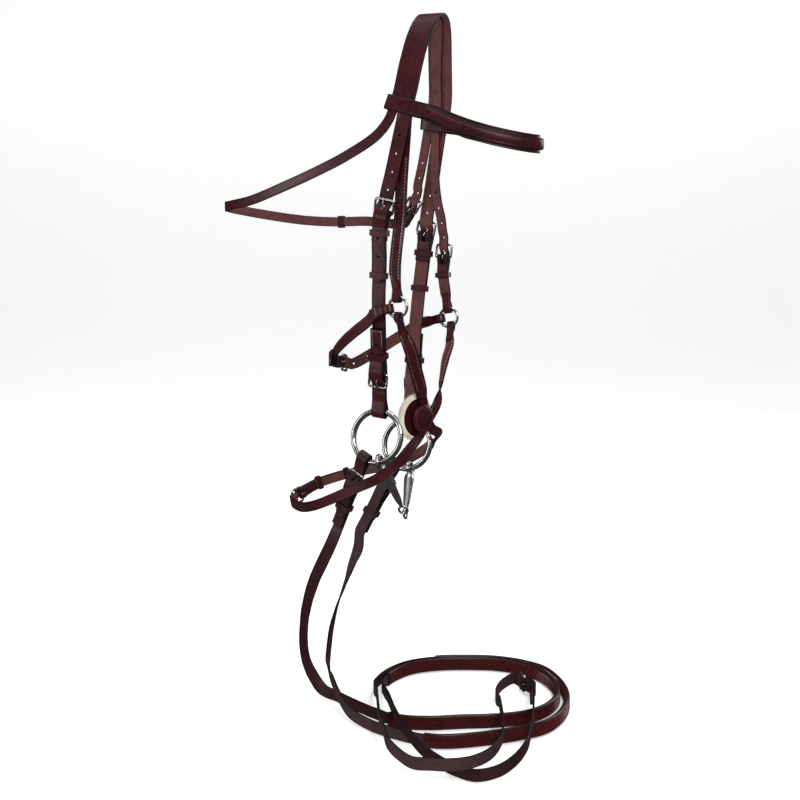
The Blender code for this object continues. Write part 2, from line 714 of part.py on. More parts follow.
def headpiece():
    """Flat crown over the poll, both ends split into a cheek strap and a throat strap."""
    sheet = Sheet(POLL_HIDE)
    rows = []
    for dist in CROWN.stations():
        place = CROWN.at(dist)
        rows.append([sheet.dot(place.point + place.width * column, place.face)
                     for column in CROWN_COLUMNS])
    for a, b in zip(rows[:-1], rows[1:]):
        for k in range(3):
            sheet.net.append((a[k], b[k], b[k + 1], a[k + 1]))
    near, off = rows[0], rows[-1]
    near_end, off_end = CROWN.at(0), CROWN.at(CROWN.length)
    off_cheek_billet(sheet, off_end, (off[2], off[3]))
    throatlash_strap(sheet, off_end, (off[0], off[1]))
    near_cheek_billet(sheet, near_end, (near[3], near[2]))
    throatlash_billet(sheet, near_end, (near[1], near[0]))
    keep("headpiece", sheet.solid())


# ---------------------------------------------------------------- cheekpieces
def cheekpiece(side, top, line, guide, low, reach):
    knots = chape_knots(top, guide, 26) + line + bit_wrap(low, reach)
    knots += low.knots(RISE + [(24, 4.4), (31, 4.4), (40, 4.4)])
    whole = Guide(knots)
    strap(side + "_cheekpiece", whole, [(0, CHEEK)] + pointed(CHEEK, 10),
          [tongue_hole(whole, low)], [chape_slot(whole, top)])
    sewn_chape(side + "_lower_chape", low, CHEEK, (60, 40, 24), "leather")
    keep(side + "_cheek_lower_keeper", band(low, 20, 27.6, CHEEK + KEEPER_ROOM, -6.7, 6.2))


# ---------------------------------------------------------------- browband
# (run, rise) of its ends, folded round the headpiece into loops
BROW_LOOP = [(44, -4.4), (34, -3.6), (26, -5.6), (16, -6.8), (-12, -6.8), (-18.8, -5.1),
             (-21, -1.6), (-19.1, 2.6), (-12, 3.9), (8, 4.6), (20, 3.9), (32, 1.8)]
BROW_LINE = places([
    (56, -52, -137, UP), (88, -43.5, -147.5, UP), (118, -29, -155, UP), (136, -13, -158.5, UP),
    (140, 0, -159, UP), (135, 14, -158.5, UP), (113, 32, -155, UP), (82, 47, -149.5, UP),
    (50, 56, -143, UP)])
BROW_END = 9            # half width at the loops
BROW_TAPER = [(0, 9), (12, 9.6), (18, 10.4), (24, 11.2), (34, 11.2)]    # (in from loop, half width)
FACING_HALF, FACING_GAP = 7.2, 0.45


def crown_bench(target, run):
    place = CROWN.at(CROWN.find(vec(*target)))
    return Bench(place.point, run, place.face)


def browband():
    off = crown_bench((-16, -58, -112), (.966, 0, -.26))
    near = crown_bench((-21, 61, -129), (.985, -.05, -.16))
    guide = Guide(off.knots(BROW_LOOP) + BROW_LINE + near.knots(BROW_LOOP)[::-1], UP)
    start, end = guide.find(off.point(20, 2.7)), guide.find(near.point(20, 2.7))
    half = [(0, BROW_END)] + [(start + dist, width) for dist, width in BROW_TAPER]
    half += [(end - dist, width) for dist, width in reversed(BROW_TAPER)]
    half.append((guide.length, BROW_END))
    rows = strap("browband", guide, half, thick=BROW_HIDE)
    strap("browband_raised_facing", guide, [(0, FACING_HALF)], thick=FACING_HIDE,
          lift=BROW_HIDE / 2 + FACING_GAP + FACING_HIDE / 2,
          stations=[dist for dist, _ in rows if start + 11.9 < dist < end - 11.9])


# ---------------------------------------------------------------- noseband
UNDER_CROWN = 3.35          # headstrap's middle below the crown's
# (distance from the middle of the crown, shift across it), on the off side then the near side
UNDER_OFF = [(137, 7.0), (112, 6.0), (84, 4.5), (56, 3.0), (31, 1.5), (14, 0)]
UNDER_NEAR = [(-14, 0), (-31, -1.5), (-56, -3.5), (-84, -4.5), (-112, -3.5), (-138, -1.0),
              (-156, 1.0)]

NEAR_RING_TOP = ring_bench(NEAR_RING, 100, (-.17, -.03, .98))
NOSE_CHEEK_LINE = NOSE_BENCH.knots([(9, LAYER), (22, LAYER)]) + places([
    (-17.5, 78.3, -332, ACROSS)])
NOSE_CHEEK = Guide(NOSE_CHEEK_LINE + NEAR_RING_TOP.knots([(14, LAYER)]))


def under_crown(table):
    """Knots of the headstrap where it runs beneath the crown."""
    middle = CROWN.find(vec(0, 0, 0.5))
    knots = []
    for dist, shift in table:
        place = CROWN.at(middle + dist)
        point = place.point - place.face * UNDER_CROWN + place.width * shift
        if shift == 0:
            knots.append((vec(0, point[1], point[2]), ACROSS))
        else:
            knots.append((point, place.width))
    return knots


def headstrap():
    """From the off noseband ring up over the poll and down to the near noseband buckle."""
    ring_end = ring_bench(OFF_RING, 96, (-.08, .03, .99))
    knots = ring_end.knots([(30, -LAYER)]) + ring_wrap(ring_end, 20)[::-1] + places([
        (-15.5, -78, -312, ACROSS), (-15.5, -73.5, -285, ACROSS), (-15.5, -66.2, -259, ACROSS),
        (-15.5, -62.3, -238, ACROSS), (-14, -61.2, -200, ACROSS), (-11.5, -59.8, -160, ACROSS)])
    knots += under_crown(UNDER_OFF)
    knots += places([(0, -5.5, POLL_UNDER, ACROSS), (0, 5.5, POLL_UNDER, ACROSS)])
    knots += under_crown(UNDER_NEAR) + places([
        (-23, 61, -170, ACROSS), (-23.5, 61.7, -200, ACROSS), (-20.3, 62.6, -228, ACROSS),
        (-17, 66.5, -248, ACROSS), (-17, 72.5, -266, ACROSS)])
    knots += NOSE_BENCH.knots(RISE) + NOSE_CHEEK.lay(16, 52, BILLET_LIFT, 12)
    guide = Guide(knots)
    poll = guide.find(vec(0, 0, POLL_UNDER))
    hole = tongue_hole(guide, NOSE_BENCH)
    half = [(0, IN_RING), (guide.find(ring_end.point(9, 1.7)), IN_RING),
            (guide.find(ring_end.point(30, LAYER)), NOSE), (poll + 60, NOSE),
            (poll + 130, HEAD_BILLET)]
    flat = tuple(guide.find(vec(0, y, POLL_UNDER)) for y in (-5.5, 5.5))
    strap("noseband_headstrap", guide, half + pointed(HEAD_BILLET, 9),
          [hole] + spare_holes(hole[0], (-4, -3, -2, -1), 20.5, 1.8), plain=[flat])


def ring_ended_strap(name, buckle_bench, guide, back, line, ring_end, wrap_far, full, tail, width):
    """From a buckle along a line to a noseband ring, narrowed round it; full: run from the ring
    where the strap has its whole width, tail: run of the turned-back end."""
    whole = Guide(chape_knots(buckle_bench, guide, back) + line + ring_wrap(ring_end, wrap_far)
                  + ring_end.knots([(tail, -LAYER)]))
    half = [(0, width), (whole.find(ring_end.point(full, LAYER)), width),
            (whole.find(ring_end.point(9, 1.7)), IN_RING), (whole.length, IN_RING)]
    strap(name, whole, half, (), [chape_slot(whole, buckle_bench)])


def near_nose_cheek():
    ring_ended_strap("noseband_near_cheek", NOSE_BENCH, NOSE_CHEEK, 18, NOSE_CHEEK_LINE,
                     NEAR_RING_TOP, wrap_far=14, full=19, tail=20, width=NOSE_CHEEK_HALF)


JAW_LINE = JAW_BENCH.knots([(9, LAYER), (17, 1.0)]) + places([
    (-128, -26, -425, UP), (-115, -40, -415, UP), (-96, -55, -402, UP), (-74, -67.5, -388, UP),
    (-53, -76, -374.5, UP)])
JAW_GUIDE = Guide(JAW_LINE)


def jaw_buckle_side():
    ring_ended_strap("jaw_strap_buckle_side", JAW_BENCH, JAW_GUIDE, 22, JAW_LINE,
                     ring_bench(OFF_RING, 192, (-.965, .05, -.26)),
                     wrap_far=18, full=18, tail=28, width=JAW)


def jaw_billet():
    ring_end = ring_bench(NEAR_RING, 190, (-.96, -.16, -.22))
    knots = ring_end.knots([(30, -LAYER)]) + ring_wrap(ring_end, 18)[::-1] + places([
        (-50, 73.5, -389.5, UP), (-76, 64, -407, UP), (-104, 47, -427, UP)])
    guide = Guide(knots + JAW_BENCH.knots(RISE) + JAW_GUIDE.lay(14, 40, 3.05, 9))
    hole = tongue_hole(guide, JAW_BENCH)
    half = [(0, IN_RING), (guide.find(ring_end.point(9, 1.7)), IN_RING),
            (guide.find(ring_end.point(18, LAYER)), JAW)]
    strap("jaw_strap_billet", guide, half + pointed(JAW, 9),
          [hole] + spare_holes(hole[0], (-3, -2, -1), 22.0, 1.9))


# ---------------------------------------------------------------- rosette and crossed nose straps
ROSETTE = vec(-12, 0, -505)
ROSETTE_TURN = math.radians(20)     # its face is turned this far from +X towards the off side
ROSETTE_OUT = vec(math.cos(ROSETTE_TURN), -math.sin(ROSETTE_TURN), 0)
ROSETTE_SIDE = vec(math.sin(ROSETTE_TURN), math.cos(ROSETTE_TURN), 0)
# (distance out along the axis, radius)
ROSETTE_PROFILE = [(-1.5, 0), (-1.5, 16.8), (-0.7, 17.6), (0.9, 17.6), (2.0, 16.4), (2.8, 10),
                   (3.1, 0)]
PAD_PROFILE = [(-9.9, 0), (-9.9, 26), (-11.3, 29.2), (-13.6, 30.2), (-17, 29.2), (-19.5, 25),
               (-21, 14), (-21.3, 0)]
# lower nose strap, from the chin buckle round the near side and up to the rosette
CHIN_LINE = CHIN_BENCH.knots([(9, LAYER), (17, 1.2)]) + places([
    (-192, 36.5, -614.5, UP), (-178, 52, -608.5, UP), (-157, 64, -601.5, UP),
    (-132, 69.5, -595, UP), (-106, 70, -588.5, UP), (-78, 67.5, -579.5, UP),
    (-52, 62, -567, (.25, 0, .95)), (-33, 59, -554, (.45, 0, .85)),
    (-17, 54.5, -541.5, (.6, .1, .75)), (-8.2, 40.5, -529.5, (.55, .3, .75))])
CHIN_GUIDE = Guide(CHIN_LINE)


def on_rosette(side, up, out):
    return ROSETTE + ROSETTE_SIDE * side + UP * up + ROSETTE_OUT * out


def rosette():
    keep("nose_rosette", lathe(ROSETTE, ROSETTE_OUT, ROSETTE_PROFILE, ROSETTE_STEPS))
    keep("rosette_pad", lathe(ROSETTE, ROSETTE_OUT, PAD_PROFILE, PAD_STEPS), "fleece")


def nose_strap_half(guide, ring_end, full_run, full_half, crossing):
    """Half widths from the ring to the rosette and past it."""
    full = guide.find(ring_end.point(full_run, LAYER))
    middle = guide.find(crossing)
    return [(0, FACE_IN_RING), (guide.find(ring_end.point(9, 1.7)), FACE_IN_RING),
            (full, full_half), (full + 24, FACE), (middle - 20, FACE), (middle + 20, CHIN)]


def nose_strap_off_to_near():
    """From the off ring, behind the rosette and round the near side to the chin buckle."""
    ring_end = ring_bench(OFF_RING, 279, (.0, .6, -.8))
    crossing = on_rosette(12, 3, -7.7)
    knots = ring_end.knots([(26, -LAYER)]) + ring_wrap(ring_end, 16)[::-1] + places([
        (-10, -58, -396, (.96, .2, .1)), (-10.7, -42, -413, (.9, .42, .1)),
        (-12.6, -22, -440, (.85, .5, .1)), (-14, -3.5, -466, (.6, .8, .1))])
    knots += [(on_rosette(7, 22, -7.7), (.3, .9, .25)), (crossing, (.25, .7, .6)),
              (on_rosette(24, -17, -7.2), (.4, .45, .8))]
    knots += (chape_knots(CHIN_BENCH, CHIN_GUIDE, 21) + CHIN_LINE)[::-1]
    guide = Guide(knots)
    half = nose_strap_half(guide, ring_end, 24, 6.3, crossing)
    strap("nose_strap_off_to_near", guide, half + [(guide.length, CHIN)], (),
          [chape_slot(guide, CHIN_BENCH)])


def nose_strap_near_to_off():
    """From the near ring, behind the rosette and round the off side, ending as the chin billet."""
    ring_end = ring_bench(NEAR_RING, 290, (.12, -.58, -.8))
    crossing = on_rosette(15, -2, -3.5)
    knots = ring_end.knots([(24, -LAYER)]) + ring_wrap(ring_end, 14)[::-1] + places([
        (-1, 60, -415, (.92, -.34, .12)), (-1, 47.5, -431, (.82, -.52, .14)),
        (-2.5, 36.8, -459, (.62, -.7, .2))])
    knots += [(on_rosette(30, 17, -3.45), (.2, .8, -.5)), (crossing, (.25, .7, -.6)),
              (on_rosette(-3, -24, -3.5), (.3, .75, -.6))]
    knots += places([
        (-19, -25, -540.5, (.45, .45, -.75)), (-28, -54.5, -560.5, (.35, .1, -.93)),
        (-46, -68.5, -575.5, -UP), (-76, -71, -590, -UP), (-112, -68, -607.5, -UP),
        (-142, -56, -620.5, -UP), (-168, -40, -628.5, -UP), (-188, -24, -630.5, -UP)])
    guide = Guide(knots + CHIN_BENCH.knots(RISE) + CHIN_GUIDE.lay(14, 76, BILLET_LIFT, 9))
    hole = tongue_hole(guide, CHIN_BENCH)
    half = nose_strap_half(guide, ring_end, 22, 6.0, crossing)
    strap("nose_strap_near_to_off", guide, half + pointed(CHIN, 9),
          [hole] + spare_holes(hole[0], (-2, -1), 22.0, 1.8))


# ---------------------------------------------------------------- reins
def rein_bench(bit, out, lean):
    """Bench of a rein buckle; lean: degrees the rein leans from the ring's plane towards near."""
    start = bit_point(bit, 243)
    spoke = unit(start - bit)
    run = spoke * math.cos(math.radians(lean)) + BIT_AXIS * math.sin(math.radians(lean))
    face = square_to(square_to(out, run), np.cross(spoke, BIT_AXIS))
    return Bench(start + run * REIN_REACH + face * WRAP_DROP, run, face)


OFF_REIN = rein_bench(OFF_BIT, OFF_OUT, 20)
NEAR_REIN = rein_bench(NEAR_BIT, NEAR_OUT, 9)
END_BENCH = Bench((87, 124, -886.8), (.8, -.6, 0), (.6, .8, 0))

OFF_REIN_LINE = OFF_REIN.knots(BEHIND_REIN) + places([
    (-126, -43, -675, (.9, .1, -.37)), (-139, -43, -701, (.82, .4, -.3)),
    (-153, -40, -728, (.7, .65, -.2)), (-166, -36, -763, (.45, .88, -.1)),
    (-173, -32, -793, (.25, .97, 0)), (-176, -28, -822, (.25, .97, 0)),
    (-173, -26, -845, (.2, .9, .25)), (-164, -24, -865, (.1, .62, .75)),
    (-151, -20, -884, (0, .2, .98)),
    (-130, -20, -890, UP), (-98, -36, -890.4, UP), (-58, -54, -890.4, UP), (-14, -67, -890.4, UP),
    (23, -56, -890.4, UP), (57, -35, -890.4, UP), (100, -10, -890.4, UP), (131, 20, -890.4, UP),
    (145, 60, -890.4, UP), (141, 104, -890.4, UP), (121, 145, -890.4, UP), (90, 177, -890.4, UP),
    (54, 193, -890.4, UP), (18, 194, -890.4, UP), (-20, 181, -890.4, UP), (-58, 160, -890.4, UP),
    (-86, 130, -890.4, UP), (-98, 92, -891.5, UP), (-94, 49, -890, UP), (-72, 8, -883, UP),
    (-44, -38, -873, UP), (-6, -96, -870.6, UP), (21, -130, -871, UP), (45, -150, -877, UP),
    (64, -156, -887, UP), (84, -163, -891.6, UP), (110, -177, -891.9, UP),
    (138, -182, -891.6, UP), (160, -166, -888, UP), (172, -143, -881, UP), (176, -118, -873, UP),
    (166, -74, -870.5, UP), (152, -25, -870.5, UP), (141, 8, -870.5, UP), (131, 36, -872.3, UP),
    (116, 68, -884, UP)])
NEAR_REIN_LINE = NEAR_REIN.knots(BEHIND_REIN) + places([
    (-124, 34.5, -695, (.9, -.1, -.37)), (-136, 41, -718, (.75, -.5, -.3)),
    (-149, 41, -753, (.45, -.85, -.2)), (-160, 40, -783, (.25, -.95, -.1)),
    (-168, 38, -815, (.1, -1, 0)), (-171, 35, -845, (.1, -.97, .15)),
    (-168, 26, -861, (.05, -.7, .6)), (-156, 7, -868.5, (0, -.3, .95)),
    (-136, -20, -869.5, UP), (-112, -49, -876, UP), (-82, -76, -886, UP), (-46, -91, -891.5, UP),
    (-6, -104, -891.5, UP), (33, -110, -891, UP), (62, -106, -890.4, UP), (101, -79, -890.4, UP),
    (138, -41, -890.4, UP), (161, -8, -890.4, UP), (168, 34, -890.4, UP), (161, 84, -890.4, UP),
    (143, 128, -890.4, UP), (117, 166, -890.4, UP), (90, 192, -890.4, UP), (56, 204, -890.4, UP),
    (14, 204, -890.4, UP), (-26, 190, -890.4, UP), (-66, 168, -890.4, UP), (-95, 136, -890.4, UP),
    (-108, 94, -891.2, UP), (-104, 47, -890, UP), (-84, 2, -880, UP), (-64, -32, -871.4, UP),
    (-46, -66, -870.2, UP), (-21, -112, -870.6, UP), (3, -149, -870.8, UP), (23, -178, -874, UP),
    (42, -189, -880, UP), (64, -200, -882, UP), (91, -208, -876, UP), (116, -208, -872.5, UP),
    (135, -196, -871, UP), (146, -172, -870.5, UP), (148, -145, -870, UP), (141, -106, -870, UP),
    (126, -63, -870, UP), (106, -18, -870.3, UP), (95, 6, -871.5, UP), (80, 36, -881, UP),
    (62, 82, -888.5, UP), (59, 108, -887.5, UP)])
# the end of the off rein, from the centre buckle back
END_KNOTS = END_BENCH.knots([(9, LAYER), (17, LAYER)])
END_GUIDE = Guide(END_KNOTS + OFF_REIN_LINE[:-3:-1])
# places where each rubber grip begins and ends
OFF_GRIP = (-30, -62, -890.4), (-97, 72, -890.8)
NEAR_GRIP = (40, -110, -891), (-66, 168, -890.4)
GRIP_INNER = (REIN + 0.4, HIDE / 2 + 0.4)       # half width, half thickness
GRIP_OUTER = (REIN + 1.55, HIDE / 2 + 1.75)


def rein_guide(bench, line, end):
    """From the billet end at the rein buckle, round the bit ring and along the rein."""
    billet = bench.knots(RISE + [(24, 4.4), (34, 4.4), (44, 4.4), (54, 4.4)])
    return Guide(billet[::-1] + bit_wrap(bench, REIN_REACH)[::-1] + line + end)


def rein(side, bench, guide, grip, far_half, far_holes, slots):
    grip_start, grip_end = (guide.find(vec(*place)) for place in grip)
    half = [(0, 0.3 * REIN), (4, 0.74 * REIN), (11, REIN)]
    half += [(guide.find(bench.point(run, -5.5)), REIN) for run in (-20, -9, -3, 1, 5, 11, 22, 68)]
    half += [(grip_start, REIN), (grip_end, REIN)] + far_half
    rows = strap(side + "_rein", guide, half, [tongue_hole(guide, bench)] + far_holes, slots,
                 "rein", sag=REIN_SAG)
    stations = [dist for dist, _ in rows if grip_start - 1e-3 <= dist <= grip_end + 1e-3]
    keep(side + "_rein_grip", sleeve(guide, stations, GRIP_INNER, GRIP_OUTER), "rubber")
    sewn_chape(side + "_rein_chape", bench, REIN, (66, 44, 24), "rein")


def off_rein():
    """Ends in the chape of the centre buckle."""
    end = (chape_knots(END_BENCH, END_GUIDE, 24) + END_KNOTS)[::-1]
    guide = rein_guide(OFF_REIN, OFF_REIN_LINE, end)
    rein("off", OFF_REIN, guide, OFF_GRIP, [(guide.length, REIN)], [],
         [chape_slot(guide, END_BENCH)])


def near_rein():
    """Ends in the billet of the centre buckle."""
    end = END_BENCH.knots(RISE) + END_GUIDE.lay(14, 30, BILLET_LIFT, 8)
    guide = rein_guide(NEAR_REIN, NEAR_REIN_LINE, end)
    rein("near", NEAR_REIN, guide, NEAR_GRIP, pointed(REIN, 10),
         [tongue_hole(guide, END_BENCH)], [])


# ---------------------------------------------------------------- bit
ARM_DEGREES = 284           # place of the mouthpiece butts round the bit rings
EYE_HOLE, BUTT_HOLE = 4.2, 6.0      # radii of the bores
LINK = 6.8                  # from the joint back to the off arm's eye centre


def mouthpiece_arm(name, butt, along, eye_centre, eye_axis, tangent):
    """Half of the jointed mouthpiece: a butt bored for the ring, a tapering bar and a flat eye."""
    length = np.linalg.norm(eye_centre - butt)
    butt_width = unit(np.cross(tangent, along))
    eye_width = unit(np.cross(eye_axis, along))
    if butt_width @ eye_width < -1e-6:
        eye_width = -eye_width
    end = BUTT_HOLE + 2.2           # from the butt's bore to the end of the flat round it
    eye = length - EYE_HOLE - 2.6   # where the flat round the eye begins
    eye_end = length + EYE_HOLE + 2.6
    # (distance from the butt's bore, half width, half thickness)
    stops = [(-end - 1.7, 4.6, 3.2), (-end, 7.6, 4.4), (end, 8.6, 6.2), (end + 4, 7.9, 7.4),
             (end + 14, 6.9, 6.9), (length * 0.55, 5.8, 5.8), (eye - 9, 4.6, 4.6),
             (eye - 3.5, 4.6, 3.0), (eye, 6.6, 2.1), (eye_end, 6.4, 1.8), (eye_end + 0.8, 4.0, 1.5)]
    bores = {1: (0.0, BUTT_HOLE), 8: (length, EYE_HOLE)}    # stop before it -> (centre, radius)
    sheet = Sheet(2.0)              # normals are scaled to the half thickness
    rows = []
    for dist, half, thick in stops:
        mix = min(1.0, max(0.0, (dist - end - 4) / (eye - 12 - end)))
        width = unit(butt_width * (1 - mix) + eye_width * mix)
        face = unit(np.cross(along, width))
        dots = [sheet.dot(butt + along * dist + width * part * half, face * thick * fullness)
                for part, fullness in ((-1, .42), (-.5, .9), (.5, .9), (1, .42))]
        rows.append((width, face, thick, dots))
    for i, (row_a, row_b) in enumerate(zip(rows[:-1], rows[1:])):
        width, face, thick_a, a = row_a
        _, _, thick_b, b = row_b
        if i in bores:
            centre, radius = bores[i]
            rim = []
            for run, side in rim_offsets(radius):
                mix = (run + radius) / (2 * radius)
                point = butt + along * (centre + run) + width * side
                rim.append(sheet.dot(point, face * (thick_a * (1 - mix) + thick_b * mix) * .9))
            sheet.surround(rim, a, b)
        else:
            for k in range(3):
                sheet.net.append((a[k], b[k], b[k + 1], a[k + 1]))
    keep(name, sheet.solid(), "steel")


def mouthpiece():
    off_butt, near_butt = bit_point(OFF_BIT, ARM_DEGREES), bit_point(NEAR_BIT, ARM_DEGREES)
    off_along, near_along = unit(BIT_JOINT - off_butt), unit(BIT_JOINT - near_butt)
    tangent = unit(bit_point(OFF_BIT, ARM_DEGREES + 1) - bit_point(OFF_BIT, ARM_DEGREES - 1))
    normal = unit(np.cross(off_along, near_along))
    mouthpiece_arm("off_mouthpiece_arm", off_butt, off_along, BIT_JOINT - off_along * LINK,
                   np.cross(normal, off_along), tangent)
    mouthpiece_arm("near_mouthpiece_arm", near_butt, near_along, BIT_JOINT, normal, tangent)


def rings():
    for name, centre in (("off_bit_ring", OFF_BIT), ("near_bit_ring", NEAR_BIT)):
        keep(name, ring(centre, BIT_AXIS, BIT_R, BIT_WIRE, BIT_STEPS, BIT_WIRE_SIDES), "steel")
    for name, centre in (("off_noseband_ring", OFF_RING), ("near_noseband_ring", NEAR_RING)):
        keep(name, ring(centre, RING_AXIS, NOSE_R, NOSE_WIRE, NOSE_RING_STEPS, WIRE_SIDES), "steel")


# ---------------------------------------------------------------- buckles, keepers and runners
BUCKLES = {             # name -> (bench, half width of the strap)
    "off_cheek_top_buckle": (OFF_TOP, CHEEK),
    "near_cheek_top_buckle": (NEAR_TOP, CHEEK),
    "off_cheek_lower_buckle": (OFF_LOW, CHEEK),
    "near_cheek_lower_buckle": (NEAR_LOW, CHEEK),
    "throatlash_buckle": (THROAT_BENCH, THROAT),
    "noseband_buckle": (NOSE_BENCH, NOSE_CHEEK_HALF),
    "jaw_buckle": (JAW_BENCH, JAW),
    "chin_buckle": (CHIN_BENCH, CHIN),
    "off_rein_buckle": (OFF_REIN, REIN),
    "near_rein_buckle": (NEAR_REIN, REIN),
    "rein_centre_buckle": (END_BENCH, REIN),
}
KEEPER_ROOM = 0.55      # from the strap's edge to the keeper
# name -> (guide, distance along it, strap half width, inside low, inside high, length)
KEEPERS = {             # fixed
    "off_cheek_keeper": (OFF_CHEEK, 15.5, CHEEK, -4.7, 4.9, 7.6),
    "near_cheek_keeper": (NEAR_CHEEK, 15.5, CHEEK, -4.7, 4.9, 7.6),
    "noseband_keeper": (NOSE_CHEEK, 14, NOSE_CHEEK_HALF, -4.55, 4.6, 6.5),
    "jaw_keeper": (JAW_GUIDE, 15, JAW, -4.7, 4.75, 7.6),
    "chin_keeper": (CHIN_GUIDE, 27, CHIN + 0.2, -2.0, 5.1, 7.0),
}
RUNNERS = {             # loose, sliding along the strap
    "off_cheek_runner": (OFF_CHEEK, 68, CHEEK, -1.6, 4.6, 7.6),
    "near_cheek_runner": (NEAR_CHEEK, 62, CHEEK, -1.6, 4.6, 7.6),
    "throatlash_runner": (THROATLASH, 98, THROAT, -1.65, 4.65, 7.6),
    "chin_runner": (CHIN_GUIDE, 67, CHIN + 0.2, -1.9, 4.95, 7.0),
}


def keeper(name, guide, dist, half, low, high, length):
    keep(name, band(guide.bench(dist), -length / 2, length / 2, half + KEEPER_ROOM, low, high))


def build_parts():
    headpiece()
    browband()
    cheekpiece("off", OFF_TOP, OFF_CHEEK_LINE, OFF_CHEEK, OFF_LOW, OFF_REACH)
    cheekpiece("near", NEAR_TOP, NEAR_CHEEK_LINE, NEAR_CHEEK, NEAR_LOW, NEAR_REACH)
    headstrap()
    near_nose_cheek()
    jaw_buckle_side()
    jaw_billet()
    nose_strap_off_to_near()
    nose_strap_near_to_off()
    off_rein()
    near_rein()
    rings()
    mouthpiece()
    rosette()
    for name, (bench, half) in BUCKLES.items():
        buckle(name, bench, half)
    for name, sizes in {**KEEPERS, **RUNNERS}.items():
        keeper(name, *sizes)


# ---------------------------------------------------------------- materials
Look = namedtuple("Look", "colour roughness metallic")
LOOKS = {
    "leather": Look(colour=(0.050, 0.018, 0.014), roughness=0.42, metallic=0.0),
    "rein": Look(colour=(0.060, 0.020, 0.015), roughness=0.45, metallic=0.0),
    "rubber": Look(colour=(0.045, 0.014, 0.012), roughness=0.62, metallic=0.0),
    "fleece": Look(colour=(0.78, 0.74, 0.62), roughness=0.95, metallic=0.0),
    "steel": Look(colour=(0.72, 0.73, 0.74), roughness=0.18, metallic=1.0),
}
STEEL_CREASE, SOFT_CREASE = 50, 35      # degrees above which an edge is shaded sharp


def make_material(name, look):
    material = bpy.data.materials.new(name + "_material")
    material.use_nodes = True
    shader = material.node_tree.nodes["Principled BSDF"]
    shader.inputs["Base Color"].default_value = (*look.colour, 1.0)
    shader.inputs["Roughness"].default_value = look.roughness
    shader.inputs["Metallic"].default_value = look.metallic
    material.diffuse_color = (*look.colour, 1.0)
    return material


# ---------------------------------------------------------------- objects
# moving body -> (its pieces, a point on its joint's axis)
BODIES = {
    "off_bit_ring": (["off_bit_ring"], OFF_BIT),
    "near_bit_ring": (["near_bit_ring"], NEAR_BIT),
    "off_noseband_ring": (["off_noseband_ring"], OFF_RING),
    "near_noseband_ring": (["near_noseband_ring"], NEAR_RING),
    "off_arm": (["off_mouthpiece_arm"], OFF_BIT),
    "near_arm": (["near_mouthpiece_arm"], BIT_JOINT),
    "reins": (["off_rein", "near_rein", "off_rein_grip", "near_rein_grip",
               "off_rein_chape", "near_rein_chape", "off_rein_buckle_frame",
               "near_rein_buckle_frame", "rein_centre_buckle_frame"], OFF_BIT),
}
for buckle_name, (buckle_bench, _) in BUCKLES.items():
    BODIES[buckle_name + "_tongue"] = ([buckle_name + "_tongue"], buckle_bench.origin)
for runner_name, runner in RUNNERS.items():
    BODIES[runner_name] = ([runner_name], runner[0].at(runner[1]).point)
CARRIED_BY = {
    "near_arm": "off_arm",
    "off_rein_buckle_tongue": "reins",
    "near_rein_buckle_tongue": "reins",
    "rein_centre_buckle_tongue": "reins",
}
WORLD = {}          # name of an empty -> its place in the world


def metres(point):
    return Vector([float(value) for value in (point + LIFT) * 0.001])


def make_empty(name, point, parent):
    empty = bpy.data.objects.new(name, None)
    empty.empty_display_size = 0.01
    WORLD[name] = metres(point)
    empty.location = WORLD[name] - (WORLD[parent.name] if parent else Vector((0, 0, 0)))
    empty.parent = parent
    bpy.context.scene.collection.objects.link(empty)
    return empty


def make_object(name, verts, faces, look, parent):
    """One object: its origin is its parent empty, so a moving piece turns or slides about its joint."""
    origin = WORLD[parent.name]
    mesh = bpy.data.meshes.new(name)
    mesh.from_pydata([(metres(vert) - origin)[:] for vert in verts], [], faces)
    mesh.validate()
    edit = bmesh.new()
    edit.from_mesh(mesh)
    bmesh.ops.triangulate(edit, faces=[face for face in edit.faces if len(face.verts) > 4])
    edit.to_mesh(mesh)
    edit.free()
    mesh.shade_smooth()
    crease = STEEL_CREASE if look == "steel" else SOFT_CREASE
    mesh.set_sharp_from_angle(angle=math.radians(crease))
    mesh.materials.append(make_material(name, LOOKS[look]))
    piece = bpy.data.objects.new(name, mesh)
    piece.parent = parent
    bpy.context.scene.collection.objects.link(piece)


def main():
    for old in list(bpy.data.objects):
        bpy.data.objects.remove(old, do_unlink=True)
    build_parts()
    frame = make_empty("bridle_frame", -LIFT, None)
    empties, home = {}, {}
    # carried bodies come last, so that their carriers exist
    for body in sorted(BODIES, key=lambda name: name in CARRIED_BY):
        pieces, point = BODIES[body]
        carrier = empties.get(CARRIED_BY.get(body), frame)
        empties[body] = make_empty(body + "_axis", point, carrier)
        for piece in pieces:
            home[piece] = empties[body]
    for name, (verts, faces, look) in PARTS.items():
        make_object(name, verts, faces, look, home.get(name, frame))


main()
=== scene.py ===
"""The looks of a snaffle bridle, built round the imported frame.

Straps, buckles, rings and rein grips follow smooth lines through measured knots, with creased
edges, punched holes, thread, relief on the rubber and fleece on the pad.
+X is the wearer's forward, +Y its left (near) side, -Y its right (off) side, +Z up; the origin
is under the poll. Lengths are millimetres until the meshes are made.
"""

import json
import math

